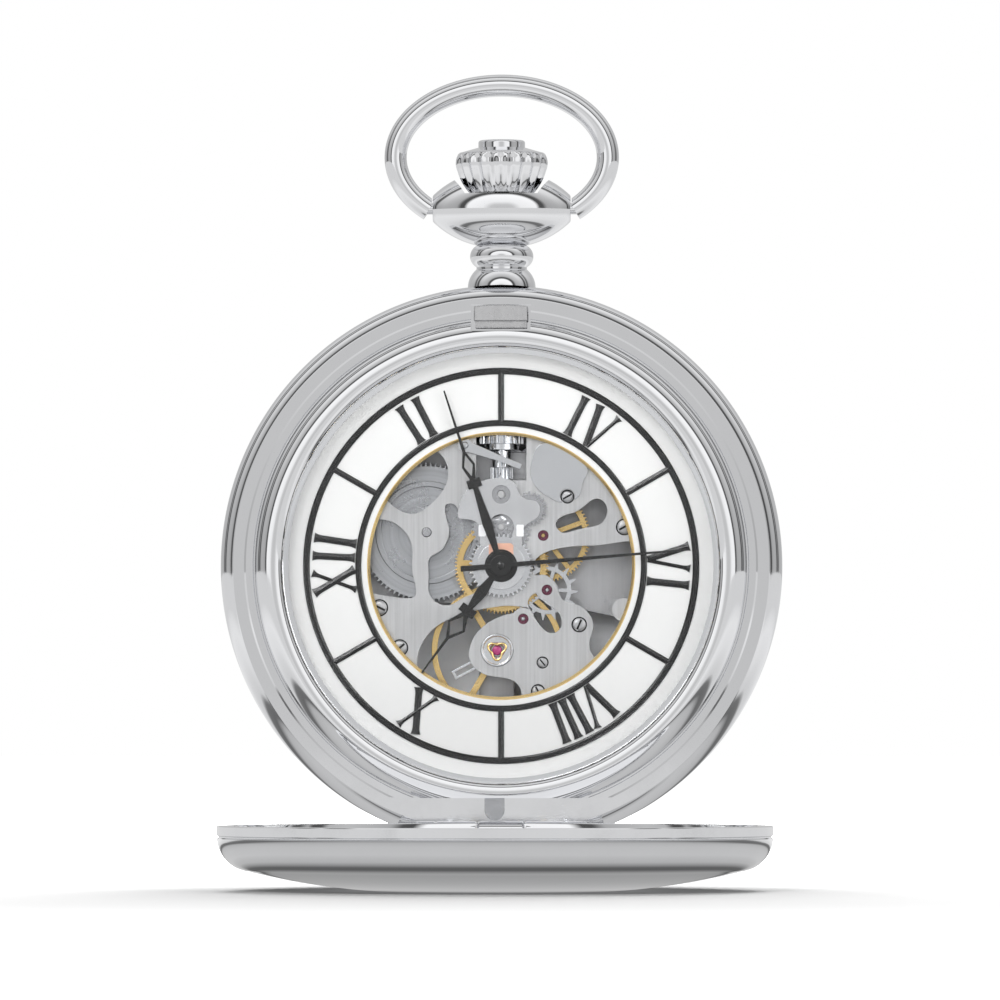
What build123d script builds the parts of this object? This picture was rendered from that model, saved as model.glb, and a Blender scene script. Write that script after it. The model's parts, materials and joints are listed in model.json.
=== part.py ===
from build123d import *
from math import atan2, cos, degrees, hypot, pi, radians, sin
import os

# Hunter-cased pocket watch with an open-centre dial and a hand-wound movement.
# It stands open: the lid lies flat on the table at right angles to the case.
# Frame: origin at the centre of the lid's flat foot, X to the wearer's right of the dial,
# -Y the way the dial faces, +Z up along the stem. Millimetres throughout.

os.makedirs("parts", exist_ok=True)

# ---------------------------------------------------------------- driving dimensions
CASE_R = 24.0              # widest radius of the case band
LID_R = 23.0               # outer radius of the lid, and of its seat on the case
LID_WALL = 1.0             # thickness of the lid's rim
LID_HEIGHT = 5.4           # from the lid's flat foot to its rim
FOOT_R = 10.35             # radius of the flat on the lid and on the back
SEAT_DROP = 21.9           # dial centre to the open lid's rim plane
HINGE_LEAD = 0.6           # hinge axis in front of the lid's seat
HINGE_RING = SEAT_DROP + HINGE_LEAD
DIAL_Z = LID_HEIGHT + SEAT_DROP
SEAT_Y = HINGE_RING + HINGE_LEAD
HINGE_Y = SEAT_Y - HINGE_LEAD
HINGE_Z = DIAL_Z - HINGE_RING
KNUCKLE_R = 0.7
PIN_R = 0.32
FIT = 0.05                 # running clearance, on radius
CASE_DEPTH = 5.4           # lid seat to back-cover seat
BACK_HEIGHT = 4.2          # how far the domed back stands behind its seat
STEM_DEPTH = 2.9           # stem axis behind the lid's seat
STEM_Y = SEAT_Y + STEM_DEPTH

# Depths behind the lid's seat, front to back.
CRYSTAL_FRONT, CRYSTAL_BACK = -1.75, -0.85
SECOND_DEPTH = -0.42
MINUTE_DEPTH = -0.12
HOUR_DEPTH = 0.18
DIAL_FRONT, DIAL_BACK = 0.5, 0.85
COVER_FRONT, COVER_BACK = 0.52, 0.70
UPPER_FRONT, UPPER_BACK = 0.76, 0.98     # hour wheel, setting wheels
LOWER_FRONT, LOWER_BACK = 1.04, 1.26     # minute wheel, cannon teeth
PLATE_FRONT, PLATE_BACK = 1.3, 2.3
CENTRE_FRONT, CENTRE_BACK = 2.42, 2.67
BARREL_FRONT, BARREL_TEETH_BACK, BARREL_BACK = 2.85, 3.35, 3.9
ESCAPE_FRONT, ESCAPE_BACK = 3.0, 3.2
FORK_FRONT, FORK_BACK = 2.92, 3.3
BALANCE_FRONT, BALANCE_BACK = 3.5, 4.0
HAIR_FRONT, HAIR_BACK = 4.15, 4.4
THIRD_FRONT, THIRD_BACK = 4.3, 4.5
BARREL_BRIDGE_FRONT, BARREL_BRIDGE_BACK = 4.0, 4.5
WIND_FRONT, WIND_BACK = 4.6, 5.0         # crown wheel and ratchet wheel
COCK_FRONT, COCK_BACK = 4.7, 5.4
FOURTH_FRONT, FOURTH_BACK = 5.1, 5.3
BRIDGE_FRONT, BRIDGE_BACK = 5.5, 6.1
MOVEMENT_R = 18.3

# Places in the movement, right and up from the dial centre.
BARREL_AT = (-6.38, 2.88)
THIRD_AT = (3.58, 2.60)
ESCAPE_AT = (3.90, -2.05)
FORK_AT = (1.87, -4.52)
BALANCE_AT = (-0.37, -7.20)
MINUTE_AT = (0.0, 3.31)
SETTING_AT = (0.0, 6.09)
SECOND_SETTING_AT = (2.40, 4.86)
CROWN_WHEEL_AT = (0.0, 7.60)
CENTRE_AT = (0.0, 0.0)

# Hand angles, anticlockwise from the wearer's right.
MINUTE_ANGLE = 108.05
HOUR_ANGLE = 233.5
SECOND_ANGLE = 4.84

# Tooth counts.
BARREL_TEETH, CENTRE_PINION_TEETH = 84, 16
CENTRE_TEETH, THIRD_PINION_TEETH = 80, 10
THIRD_TEETH, FOURTH_PINION_TEETH = 75, 10
FOURTH_TEETH, ESCAPE_PINION_TEETH = 80, 8
ESCAPE_TEETH = 15
CANNON_TEETH, MINUTE_WHEEL_TEETH = 12, 36
MINUTE_PINION_TEETH, HOUR_WHEEL_TEETH = 10, 40
SETTING_TEETH, SECOND_SETTING_TEETH, SETTING_PINION_TEETH = 19, 20, 7
CROWN_WHEEL_TEETH, RATCHET_TEETH, WIND_PINION_TEETH = 27, 42, 16

STEM_AXIS = Axis((0, STEM_Y, 0), (0, 0, 1))
WATCH_AXIS = Axis((0, SEAT_Y, DIAL_Z), (0, 1, 0))
LID_AXIS = Axis((0, 0, 0), (0, 0, 1))


# ---------------------------------------------------------------- planes and shared shapes
def face_at(depth):
    """Plane parallel to the dial, DEPTH behind the lid's seat, facing the front."""
    return Plane(origin=(0, SEAT_Y + depth, DIAL_Z), x_dir=(1, 0, 0), z_dir=(0, -1, 0))


RADIAL = Plane(origin=(0, SEAT_Y, DIAL_Z), x_dir=(1, 0, 0), z_dir=(0, 0, 1))
STEM_PLANE = Plane(origin=(0, STEM_Y, DIAL_Z), x_dir=(1, 0, 0), z_dir=(0, -1, 0))
LID_PLANE = Plane(origin=(0, 0, 0), x_dir=(1, 0, 0), z_dir=(0, -1, 0))
HINGE_PLANE = Plane(origin=(0, HINGE_Y, HINGE_Z), x_dir=(0, 1, 0), z_dir=(1, 0, 0))


def stem_plane_at(height):
    """Level plane across the stem, HEIGHT above the dial centre."""
    return Plane(origin=(0, STEM_Y, DIAL_Z + height), x_dir=(1, 0, 0), z_dir=(0, 0, 1))


def polar(radius, angle):
    """Point at RADIUS and ANGLE in degrees."""
    return (radius * cos(radians(angle)), radius * sin(radians(angle)))


def direction(start, end):
    """Angle in degrees from START to END."""
    return degrees(atan2(end[1] - start[1], end[0] - start[0]))


def distance(start, end):
    """Straight distance between two places."""
    return hypot(end[0] - start[0], end[1] - start[1])


def pair_module(start, end, teeth_a, teeth_b):
    """Tooth module of two meshed gears from their centre distance."""
    return 2 * distance(start, end) / (teeth_a + teeth_b)


def tooth_ring(teeth, module, tooth_at, slack=0.82):
    """Outline of a gear with a tooth centred on the angle TOOTH_AT."""
    pitch_r = teeth * module / 2
    tip_r = pitch_r + 0.85 * module
    root_r = pitch_r - 1.15 * module
    half = 90 / teeth * slack
    points = []
    for tooth in range(teeth):
        middle = tooth_at + tooth * 360 / teeth
        points.append(polar(root_r, middle - 1.25 * half))
        points.append(polar(pitch_r, middle - half))
        points.append(polar(tip_r, middle - 0.45 * half))
        points.append(polar(tip_r, middle + 0.45 * half))
        points.append(polar(pitch_r, middle + half))
        points.append(polar(root_r, middle + 1.25 * half))
    with BuildSketch() as ring:
        with BuildLine():
            Polyline(*points, close=True)
        make_face()
    return ring.sketch


def spoked(teeth, module, tooth_at, rim, spokes, spoke_at, spoke_width, hub_r, bore_r):
    """Toothed wheel with a rim, straight spokes and a bored hub."""
    inner_r = teeth * module / 2 - 1.15 * module - rim
    with BuildSketch() as wheel:
        add(tooth_ring(teeth, module, tooth_at))
        Circle(inner_r, mode=Mode.SUBTRACT)
        with PolarLocations(0, spokes, start_angle=spoke_at):
            with Locations((inner_r / 2, 0)):
                Rectangle(inner_r + rim, spoke_width)
        Circle(hub_r)
        Circle(bore_r, mode=Mode.SUBTRACT)
    return wheel.sketch


def blob(points):
    """Area inside a smooth closed curve through POINTS."""
    with BuildSketch() as area:
        with BuildLine():
            Spline(*points, periodic=True)
        make_face()
    return area.sketch


def straight(points):
    """Area inside straight lines through POINTS."""
    with BuildSketch() as area:
        with BuildLine():
            Polyline(*points, close=True)
        make_face()
    return area.sketch


def finish(piece, label):
    """Name a finished piece and write its file."""
    piece.label = label
    export_step(piece, f"parts/{label}.step")


# ---------------------------------------------------------------- case
CATCH_HALF = 2.3
LAND_HALF = 10.7
LAND_TOP = 19.75
LID_KNUCKLE = (2.1, 5.5)
OUTER_KNUCKLE = (5.6, 8.8)

with BuildPart() as case_middle:
    with BuildSketch(RADIAL):
        with BuildLine():
            Polyline((19.0, 0.95), (21.1, 0.95), (21.1, -0.8), (21.8, -0.8), (21.9, -0.7), (21.9, 0))
            Polyline((21.9, 0), (22.95, 0), (22.95, 0.12))
            TangentArc((CASE_R, 1.5), (22.95, 0.12), tangent=(0, -1))
            Line((CASE_R, 1.5), (CASE_R, CASE_DEPTH - 1.3))
            TangentArc((CASE_R, CASE_DEPTH - 1.3), (22.95, CASE_DEPTH), tangent=(0, 1))
            Polyline((22.95, CASE_DEPTH), (21.9, CASE_DEPTH), (21.9, 6.1), (21.1, 6.1))
            Polyline((21.1, 6.1), (21.1, CASE_DEPTH), (19.0, CASE_DEPTH), (19.0, 0.95))
        make_face()
    revolve(axis=WATCH_AXIS)
    # Flat machined land across the seat at the hinge.
    with BuildSketch(face_at(0)):
        with Locations((0, -(LAND_TOP + 2.0))):
            Rectangle(2 * LAND_HALF, 4.0)
    extrude(amount=2.0, mode=Mode.SUBTRACT)
    with BuildSketch(face_at(0.95)):
        Circle(22.0)
        with Locations((0, 5)):
            Rectangle(50, 2 * (LAND_TOP + 5), mode=Mode.SUBTRACT)
    extrude(amount=0.95)
    # Pockets that let the lid's knuckles swing.
    with BuildSketch(HINGE_PLANE.offset(-LID_KNUCKLE[1] - FIT)):
        Circle(KNUCKLE_R + 0.12)
    extrude(amount=LID_KNUCKLE[1] - LID_KNUCKLE[0] + 2 * FIT, mode=Mode.SUBTRACT)
    with BuildSketch(HINGE_PLANE.offset(LID_KNUCKLE[0] - FIT)):
        Circle(KNUCKLE_R + 0.12)
    extrude(amount=LID_KNUCKLE[1] - LID_KNUCKLE[0] + 2 * FIT, mode=Mode.SUBTRACT)
    # Case knuckles: one in the middle, two outside.
    for start, end in ((-1.9, 1.9), (-OUTER_KNUCKLE[1], -OUTER_KNUCKLE[0]), OUTER_KNUCKLE):
        with BuildSketch(HINGE_PLANE.offset(start)):
            Circle(KNUCKLE_R)
            with Locations((HINGE_LEAD, 0)):
                Rectangle(2 * HINGE_LEAD, 1.0)
            Circle(PIN_R + FIT, mode=Mode.SUBTRACT)
        extrude(amount=end - start)
    # Slot for the catch, and the stem's way in.
    with BuildSketch(face_at(0.95)):
        with Locations((0, 21.1)):
            Rectangle(2 * CATCH_HALF + 0.5, 2.4)
    extrude(amount=2.0, mode=Mode.SUBTRACT)
    with BuildSketch(stem_plane_at(18)):
        Circle(1.3)
    extrude(amount=7, mode=Mode.SUBTRACT)
finish(case_middle.part, "case_middle")

with BuildPart() as case_back:
    with BuildSketch(RADIAL):
        with BuildLine():
            foot = CASE_DEPTH + BACK_HEIGHT
            Polyline((0, foot - 0.8), (0, foot), (FOOT_R, foot))
            ThreePointArc((FOOT_R, foot), (15.6, foot - 0.55), (20.4, foot - 1.45))
            ThreePointArc((20.4, foot - 1.45), (22.35, foot - 2.4), (LID_R, CASE_DEPTH + 0.75))
            Polyline((LID_R, CASE_DEPTH + 0.75), (LID_R, CASE_DEPTH), (21.95, CASE_DEPTH), (21.95, 6.4))
            ThreePointArc((21.95, 6.4), (21.5, foot - 2.6), (20.0, foot - 2.2))
            ThreePointArc((20.0, foot - 2.2), (15.0, foot - 1.3), (9.8, foot - 0.8))
            Line((9.8, foot - 0.8), (0, foot - 0.8))
        make_face()
    revolve(axis=WATCH_AXIS)
finish(case_back.part, "case_back")

with BuildPart() as bezel:
    with BuildSketch(RADIAL):
        with BuildLine():
            Polyline((18.1, 0.4), (18.1, -0.8), (18.55, -0.8), (18.55, -1.6), (18.8, -2.0))
            ThreePointArc((18.8, -2.0), (20.2, -1.9), (20.95, -1.0))
            Polyline((20.95, -1.0), (20.95, 0.9), (20.0, 0.9), (20.0, 0.4), (18.1, 0.4))
        make_face()
    revolve(axis=WATCH_AXIS)
    with BuildSketch(face_at(0.95)):
        with Locations((0, 21.1)):
            Rectangle(2 * CATCH_HALF + 0.5, 2.3)
        with Locations((0, -(LAND_TOP + 2.0 - FIT))):
            Rectangle(2 * LAND_HALF, 4.0)
    extrude(amount=3.2, mode=Mode.SUBTRACT)
finish(bezel.part, "bezel")

with BuildPart() as crystal:
    with BuildSketch(RADIAL):
        with BuildLine():
            Polyline((0, CRYSTAL_FRONT), (0, CRYSTAL_BACK), (18.5, CRYSTAL_BACK), (18.5, -1.3), (18.1, -1.55))
            TangentArc((0, CRYSTAL_FRONT), (18.1, -1.55), tangent=(1, 0))
        make_face()
    revolve(axis=WATCH_AXIS)
finish(crystal.part, "crystal")

with BuildPart() as hinge_pin:
    with BuildSketch(HINGE_PLANE.offset(-OUTER_KNUCKLE[1] + 0.1)):
        Circle(PIN_R)
    extrude(amount=2 * OUTER_KNUCKLE[1] - 0.2)
finish(hinge_pin.part, "hinge_pin")

with BuildPart() as lid_spring:
    # Tongue of the lift spring, which bears on the lid's middle knuckle space.
    with BuildSketch(face_at(-0.05)):
        with Locations((-0.55, -20.3)):
            Rectangle(1.7, 1.0)
        with Locations((-0.55, -20.85)):
            Circle(0.85)
    extrude(amount=0.28)
finish(lid_spring.part, "lid_spring")

with BuildPart() as catch:
    with BuildSketch(face_at(-0.35)):
        with BuildLine():
            CenterArc((0, 0), 22.25, 90 - 5.9, 11.8)
            Line(polar(22.25, 84.1), (CATCH_HALF, 20.3))
            Line((CATCH_HALF, 20.3), (-CATCH_HALF, 20.3))
            Line((-CATCH_HALF, 20.3), polar(22.25, 95.9))
        make_face()
    extrude(amount=0.4)
    with BuildSketch(face_at(0.8)):
        with Locations((0, 20.75)):
            Rectangle(2 * CATCH_HALF - 0.6, 0.7)
    extrude(amount=1.2)
finish(catch.part, "catch")

with BuildPart() as lid:
    with BuildSketch(LID_PLANE):
        with BuildLine():
            Polyline((0, 0.8), (0, 0), (FOOT_R, 0))
            ThreePointArc((FOOT_R, 0), (15.6, 0.62), (20.4, 1.62))
            ThreePointArc((20.4, 1.62), (22.3, 2.62), (LID_R, 4.3))
            Polyline((LID_R, 4.3), (LID_R - 0.16, 4.4), (LID_R - 0.16, 4.46), (LID_R, 4.56))
            Polyline((LID_R, 4.56), (LID_R, 5.32), (LID_R - 0.08, LID_HEIGHT))
            Polyline((LID_R - 0.08, LID_HEIGHT), (LID_R - LID_WALL, LID_HEIGHT), (LID_R - LID_WALL, 4.2))
            ThreePointArc((LID_R - LID_WALL, 4.2), (21.5, 3.1), (20.0, 2.42))
            ThreePointArc((20.0, 2.42), (15.2, 1.42), (9.8, 0.8))
            Line((9.8, 0.8), (0, 0.8))
        make_face()
    revolve(axis=LID_AXIS)
    # Notches for the case's knuckles, then the lid's own two knuckles.
    for start, end in ((-2.0, 2.0), (-OUTER_KNUCKLE[1] - 0.1, -OUTER_KNUCKLE[0] + FIT),
                       (OUTER_KNUCKLE[0] - FIT, OUTER_KNUCKLE[1] + 0.1)):
        with BuildSketch(HINGE_PLANE.offset(start)):
            Circle(KNUCKLE_R + 0.12)
        extrude(amount=end - start, mode=Mode.SUBTRACT)
    for start in (-LID_KNUCKLE[1], LID_KNUCKLE[0]):
        with BuildSketch(HINGE_PLANE.offset(start)):
            Circle(KNUCKLE_R)
        extrude(amount=LID_KNUCKLE[1] - LID_KNUCKLE[0])
    with BuildSketch(HINGE_PLANE.offset(-OUTER_KNUCKLE[1])):
        Circle(PIN_R + FIT)
    extrude(amount=2 * OUTER_KNUCKLE[1], mode=Mode.SUBTRACT)
    # Lip that the catch holds: a recess in the wall behind the rim.
    with BuildSketch(Plane.XY.offset(LID_HEIGHT - 0.28)):
        with Locations((0, -22.0)):
            Rectangle(2 * CATCH_HALF + 0.6, 1.0)
    extrude(amount=-0.6, mode=Mode.SUBTRACT)
finish(lid.part, "lid")

# ---------------------------------------------------------------- pendant, crown and bow
HEAD_AT = 30.65            # bow pivot and head centre above the dial centre
HEAD_HALF = 5.9
NECK_TOP = 27.5
STEM_BORE = 0.9
CUP_FLOOR = 31.83
CROWN_R = 3.94
FLUTES = 22

with BuildPart() as pendant_neck:
    with BuildSketch(STEM_PLANE):
        with BuildLine():
            Polyline((STEM_BORE, NECK_TOP), (STEM_BORE, 22.4), (2.9, 22.4), (2.9, 23.75))
            ThreePointArc((2.9, 23.75), (2.72, 24.7), (2.2, 25.4))
            Line((2.2, 25.4), (2.2, 25.65))
            ThreePointArc((2.2, 25.65), (2.71, 26.55), (2.2, NECK_TOP))
            Line((2.2, NECK_TOP), (STEM_BORE, NECK_TOP))
        make_face()
    revolve(axis=STEM_AXIS)
    with BuildSketch(face_at(CASE_DEPTH + 2)):
        Circle(CASE_R)
    extrude(amount=CASE_DEPTH + 6, mode=Mode.SUBTRACT)
finish(pendant_neck.part, "pendant_neck")

with BuildPart() as pendant_head:
    with BuildSketch(STEM_PLANE):
        with BuildLine():
            Polyline((HEAD_HALF, HEAD_AT), (HEAD_HALF, HEAD_AT + 1.2))
            ThreePointArc((HEAD_HALF, HEAD_AT + 1.2), (4.1, HEAD_AT + 2.43), (0, HEAD_AT + 3.35))
            ThreePointArc((0, HEAD_AT + 3.35), (-4.1, HEAD_AT + 2.43), (-HEAD_HALF, HEAD_AT + 1.2))
            Polyline((-HEAD_HALF, HEAD_AT + 1.2), (-HEAD_HALF, HEAD_AT), (HEAD_HALF, HEAD_AT))
        make_face()
    revolve(axis=Axis((0, STEM_Y, DIAL_Z + HEAD_AT), (1, 0, 0)))
    with BuildSketch(stem_plane_at(CUP_FLOOR)):
        Circle(CROWN_R + 0.12)
    extrude(amount=4, mode=Mode.SUBTRACT)
    with BuildSketch(stem_plane_at(NECK_TOP)):
        Rectangle(14, 14)
    extrude(amount=-2, mode=Mode.SUBTRACT)
    with BuildSketch(stem_plane_at(NECK_TOP)):
        Circle(STEM_BORE)
    extrude(amount=8, mode=Mode.SUBTRACT)
    for side in (-1, 1):
        with BuildSketch(Plane(origin=(side * HEAD_HALF, STEM_Y, DIAL_Z + HEAD_AT), z_dir=(-side, 0, 0))):
            Circle(0.5 + FIT)
        extrude(amount=1.5, mode=Mode.SUBTRACT)
finish(pendant_head.part, "pendant_head")

with BuildPart() as bow:
    BOW_A, BOW_B, BOW_UP, WIRE_R = 9.1, 6.16, 35.06, 0.95
    with BuildLine(STEM_PLANE) as bow_path:
        EllipticalCenterArc((0, BOW_UP), BOW_A, BOW_B, start_angle=-47, arc_size=274)
    with BuildSketch(Plane(origin=bow_path.line @ 0, z_dir=bow_path.line % 0)):
        Circle(WIRE_R)
    sweep(path=bow_path.line)
    with BuildSketch(STEM_PLANE.offset(-4)):
        with Locations((0, HEAD_AT - 1)):
            Rectangle(2 * (HEAD_HALF + 0.1), 6)
        with Locations((0, HEAD_AT - 2.6)):
            Rectangle(20, 3.2)
    extrude(amount=8, mode=Mode.SUBTRACT)
    for side in (-1, 1):
        with BuildSketch(Plane(origin=(side * 6.4, STEM_Y, DIAL_Z + HEAD_AT), z_dir=(-side, 0, 0))):
            Circle(0.5)
        extrude(amount=1.8)
finish(bow.part, "bow")

with BuildPart() as crown:
    with BuildSketch(STEM_PLANE):
        with BuildLine():
            Polyline((0.55, 33.4), (0.55, 31.95), (2.6, 31.95), (3.1, 32.5), (3.8, 33.9))
            ThreePointArc((3.8, 33.9), (CROWN_R, 34.5), (3.75, 35.3))
            Polyline((3.75, 35.3), (3.3, 35.5), (2.1, 35.85), (2.06, 35.85), (2.06, 33.4), (0.55, 33.4))
        make_face()
    revolve(axis=STEM_AXIS)
    with BuildSketch(stem_plane_at(31.9)):
        with PolarLocations(CROWN_R + 0.08, FLUTES):
            Circle(0.34)
    extrude(amount=3.15, mode=Mode.SUBTRACT)
finish(crown.part, "crown")

with BuildPart() as push_button:
    with BuildSketch(STEM_PLANE):
        with BuildLine():
            Polyline((0, 34.6), (2.0, 34.6), (2.0, 36.35))
            Polyline((2.0, 36.35), (1.85, 36.5), (0, 36.55), (0, 34.6))
        make_face()
    revolve(axis=STEM_AXIS)
finish(push_button.part, "push_button")

with BuildPart() as crown_gasket:
    with BuildSketch(stem_plane_at(NECK_TOP + 3.2)):
        Circle(0.86)
        Circle(0.55, mode=Mode.SUBTRACT)
    extrude(amount=0.8)
finish(crown_gasket.part, "crown_gasket")

STEM_R = 0.5
with BuildPart() as stem:
    with BuildSketch(stem_plane_at(6.9)):
        Circle(STEM_R)
    extrude(amount=33.6 - 6.9 - 0.2)
finish(stem.part, "stem")

# ---------------------------------------------------------------- dial and hands
DIAL_R = 18.6
OPENING_R = 11.45
RINGS = ((11.93, 12.44), (16.34, 16.90))
BAR_WIDTH = 0.5
MARK_HEIGHT = 0.12

with BuildPart() as dial:
    with BuildSketch(face_at(DIAL_BACK)):
        Circle(DIAL_R)
        Circle(OPENING_R, mode=Mode.SUBTRACT)
        with Locations((0, -(LAND_TOP + 2))):
            Rectangle(2 * LAND_HALF, 4, mode=Mode.SUBTRACT)
    extrude(amount=DIAL_BACK - DIAL_FRONT)
finish(dial.part, "dial")

with BuildPart() as dial_opening_ring:
    with BuildSketch(RADIAL):
        Polygon((11.17, 1.0), (OPENING_R, 1.0), (OPENING_R, 0.46), (11.35, 0.46), (11.17, 0.62), align=None)
    revolve(axis=WATCH_AXIS)
finish(dial_opening_ring.part, "dial_opening_ring")

with BuildPart() as dial_marks:
    # Two chapter rings and the six odd-hour bars that join them.
    with BuildSketch(face_at(DIAL_FRONT)):
        for inner, outer in RINGS:
            with BuildSketch(mode=Mode.PRIVATE) as ring:
                Circle(outer)
                Circle(inner, mode=Mode.SUBTRACT)
            add(ring.sketch)
        with PolarLocations((RINGS[0][1] + RINGS[1][0]) / 2, 6, start_angle=30):
            Rectangle(RINGS[1][0] - RINGS[0][1] + 0.2, BAR_WIDTH)
    extrude(amount=MARK_HEIGHT)
finish(dial_marks.part, "dial_marks")


def hand_outline(angle, tip, hub, collar_at, collar, gap, diamond, waist_at, waist):
    """Pierced hand: hub, leaf blade, collar, open diamond and needle."""
    start, end = diamond
    middle = (start + end) / 2
    with BuildSketch() as outline:
        Circle(hub)
        Polygon((hub * 0.7, 0.2), (waist_at, waist / 2), (collar_at, 0.2), (collar_at, -0.2),
                (waist_at, -waist / 2), (hub * 0.7, -0.2), align=None)
        with Locations((collar_at, 0)):
            Rectangle(collar[0], collar[1])
        Polygon((collar_at, 0.15), (middle, gap / 2), (end, 0.13), (tip, 0.07), (tip, -0.07),
                (end, -0.13), (middle, -gap / 2), (collar_at, -0.15), align=None)
        Polygon((start + 0.3, 0), (middle, gap / 2 - 0.22), (end - 0.3, 0), (middle, -gap / 2 + 0.22),
                align=None, mode=Mode.SUBTRACT)
    return outline.sketch.rotate(Axis.Z, angle)


MINUTE_TIP, HOUR_TIP, SECOND_TIP = 15.7, 11.4, 16.1
CANNON_R, HOUR_PIPE_R, SECOND_ARBOR_R = 0.55, 0.78, 0.2
with BuildPart() as minute_hand:
    with BuildSketch(face_at(MINUTE_DEPTH + 0.12)):
        add(hand_outline(MINUTE_ANGLE, MINUTE_TIP, 1.25, 7.38, (0.75, 1.2), 1.18, (7.7, 10.2), 3.7, 0.85))
        Circle(CANNON_R, mode=Mode.SUBTRACT)
    extrude(amount=0.12)
finish(minute_hand.part, "minute_hand")

with BuildPart() as hour_hand:
    with BuildSketch(face_at(HOUR_DEPTH + 0.12)):
        add(hand_outline(HOUR_ANGLE, HOUR_TIP, 1.4, 4.78, (0.75, 1.45), 1.75, (5.1, 7.7), 2.8, 1.0))
        Circle(HOUR_PIPE_R, mode=Mode.SUBTRACT)
    extrude(amount=0.12)
finish(hour_hand.part, "hour_hand")

with BuildPart() as second_hand:
    with BuildSketch(face_at(SECOND_DEPTH + 0.1)):
        with BuildLine():
            Polyline(polar(SECOND_TIP, SECOND_ANGLE + 0.25), polar(3.45, SECOND_ANGLE + 176),
                     polar(3.45, SECOND_ANGLE + 184), polar(SECOND_TIP, SECOND_ANGLE - 0.25), close=True)
        make_face()
        Circle(0.9)
        Circle(SECOND_ARBOR_R, mode=Mode.SUBTRACT)
    extrude(amount=0.1)
finish(second_hand.part, "second_hand")

with BuildPart() as dial_washer:
    with BuildSketch(face_at(HOUR_DEPTH + 0.3)):
        Circle(2.05)
        Circle(HOUR_PIPE_R + FIT, mode=Mode.SUBTRACT)
    extrude(amount=0.08)
finish(dial_washer.part, "dial_washer")

# ---------------------------------------------------------------- plates and bridges
# Windows in the main plate, each a smooth loop or straight outline.
UPPER_LEFT = ((-5.5, 9.8), (-4.7, 8.8), (-4.55, 7.6), (-4.9, 6.6), (-6.1, 5.2), (-7.4, 4.45),
              (-8.6, 4.7), (-9.9, 5.7), (-11.2, 7.4), (-10.4, 9.6), (-8.2, 11.0), (-6.6, 11.0))
LEFT = ((-10.3, 4.0), (-9.2, 3.7), (-8.1, 2.8), (-7.6, 1.6), (-7.6, -0.5), (-7.4, -2.6), (-8.9, -2.7),
        (-10.6, -2.4), (-12.2, -1.6), (-12.6, 0.6), (-11.9, 3.2))
RIGHT_OF_BARREL = ((-4.8, 5.1), (-4.6, 3.7), (-4.45, 2.9), (-4.7, 2.0), (-5.2, 1.3), (-6.1, 0.7), (-6.2, -0.8),
                   (-6.2, -2.2), (-5.7, -3.0), (-4.5, -3.35), (-3.2, -2.7), (-1.95, -2.1), (-1.5, 0.0),
                   (-1.9, 2.4), (-2.3, 3.9), (-3.4, 4.3), (-4.1, 5.3))
BALANCE_WINDOW = ((-6.3, -5.9), (-4.9, -4.75), (-3.4, -4.15), (-2.0, -3.75), (-0.6, -3.5), (0.9, -3.4),
                  (2.3, -3.65), (1.3, -3.95), (-0.5, -4.5), (-1.9, -5.5), (-2.6, -6.7), (-2.75, -7.8),
                  (-2.2, -8.75), (-1.3, -9.3), (0.5, -9.6), (1.3, -10.0), (1.7, -10.8), (0.6, -12.6),
                  (-3.4, -12.3), (-6.4, -10.4), (-7.2, -8.2))
BEAN = ((2.5, -2.6), (3.0, -2.35), (3.7, -3.1), (4.6, -3.7), (5.15, -4.6), (4.9, -5.5), (4.3, -5.75),
        (3.5, -5.3), (2.9, -4.5), (2.3, -3.4))
UPPER_RIGHT = ((4.7, 3.8), (5.2, 4.25), (6.4, 4.65), (7.3, 5.3), (8.2, 5.75), (8.95, 5.2), (9.0, 4.4),
               (8.5, 3.6), (7.4, 3.3), (6.0, 2.95), (5.1, 2.9))
RIGHT = ((2.7, 0.2), (3.3, 0.9), (4.5, 1.4), (6.4, 1.7), (9.0, 1.85), (11.8, 1.9), (13.0, 0.0),
         (12.7, -3.4), (11.2, -6.6), (9.2, -8.3), (7.8, -7.6), (7.5, -6.6), (7.85, -5.2), (7.5, -4.1),
         (6.4, -3.3), (5.3, -2.9), (4.6, -1.6), (3.5, -0.75), (2.8, -0.75))
STEM_CUT = ((-2.15, 7.3), (-2.15, 12.7), (2.15, 12.7), (2.15, 7.3))

JEWELS = (THIRD_AT, ESCAPE_AT, FORK_AT)
JEWEL_R = 0.46
PIVOT_R = 0.12
SETTING_HOLE_R = 1.41

PLATE_SCREWS = ((5.64, 5.92, 0.49), (6.65, -5.01, 0.55), (3.52, -8.25, 0.42), (3.13, -10.7, 0.5),
                (-10.4, -3.57, 0.62), (-8.68, -6.99, 0.62), (10.5, 3.32, 0.6), (-13.5, 8.5, 0.8), (13.5, 8.5, 0.8))
SCREW_HEAD, SCREW_SLOT = 0.25, 0.14

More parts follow.
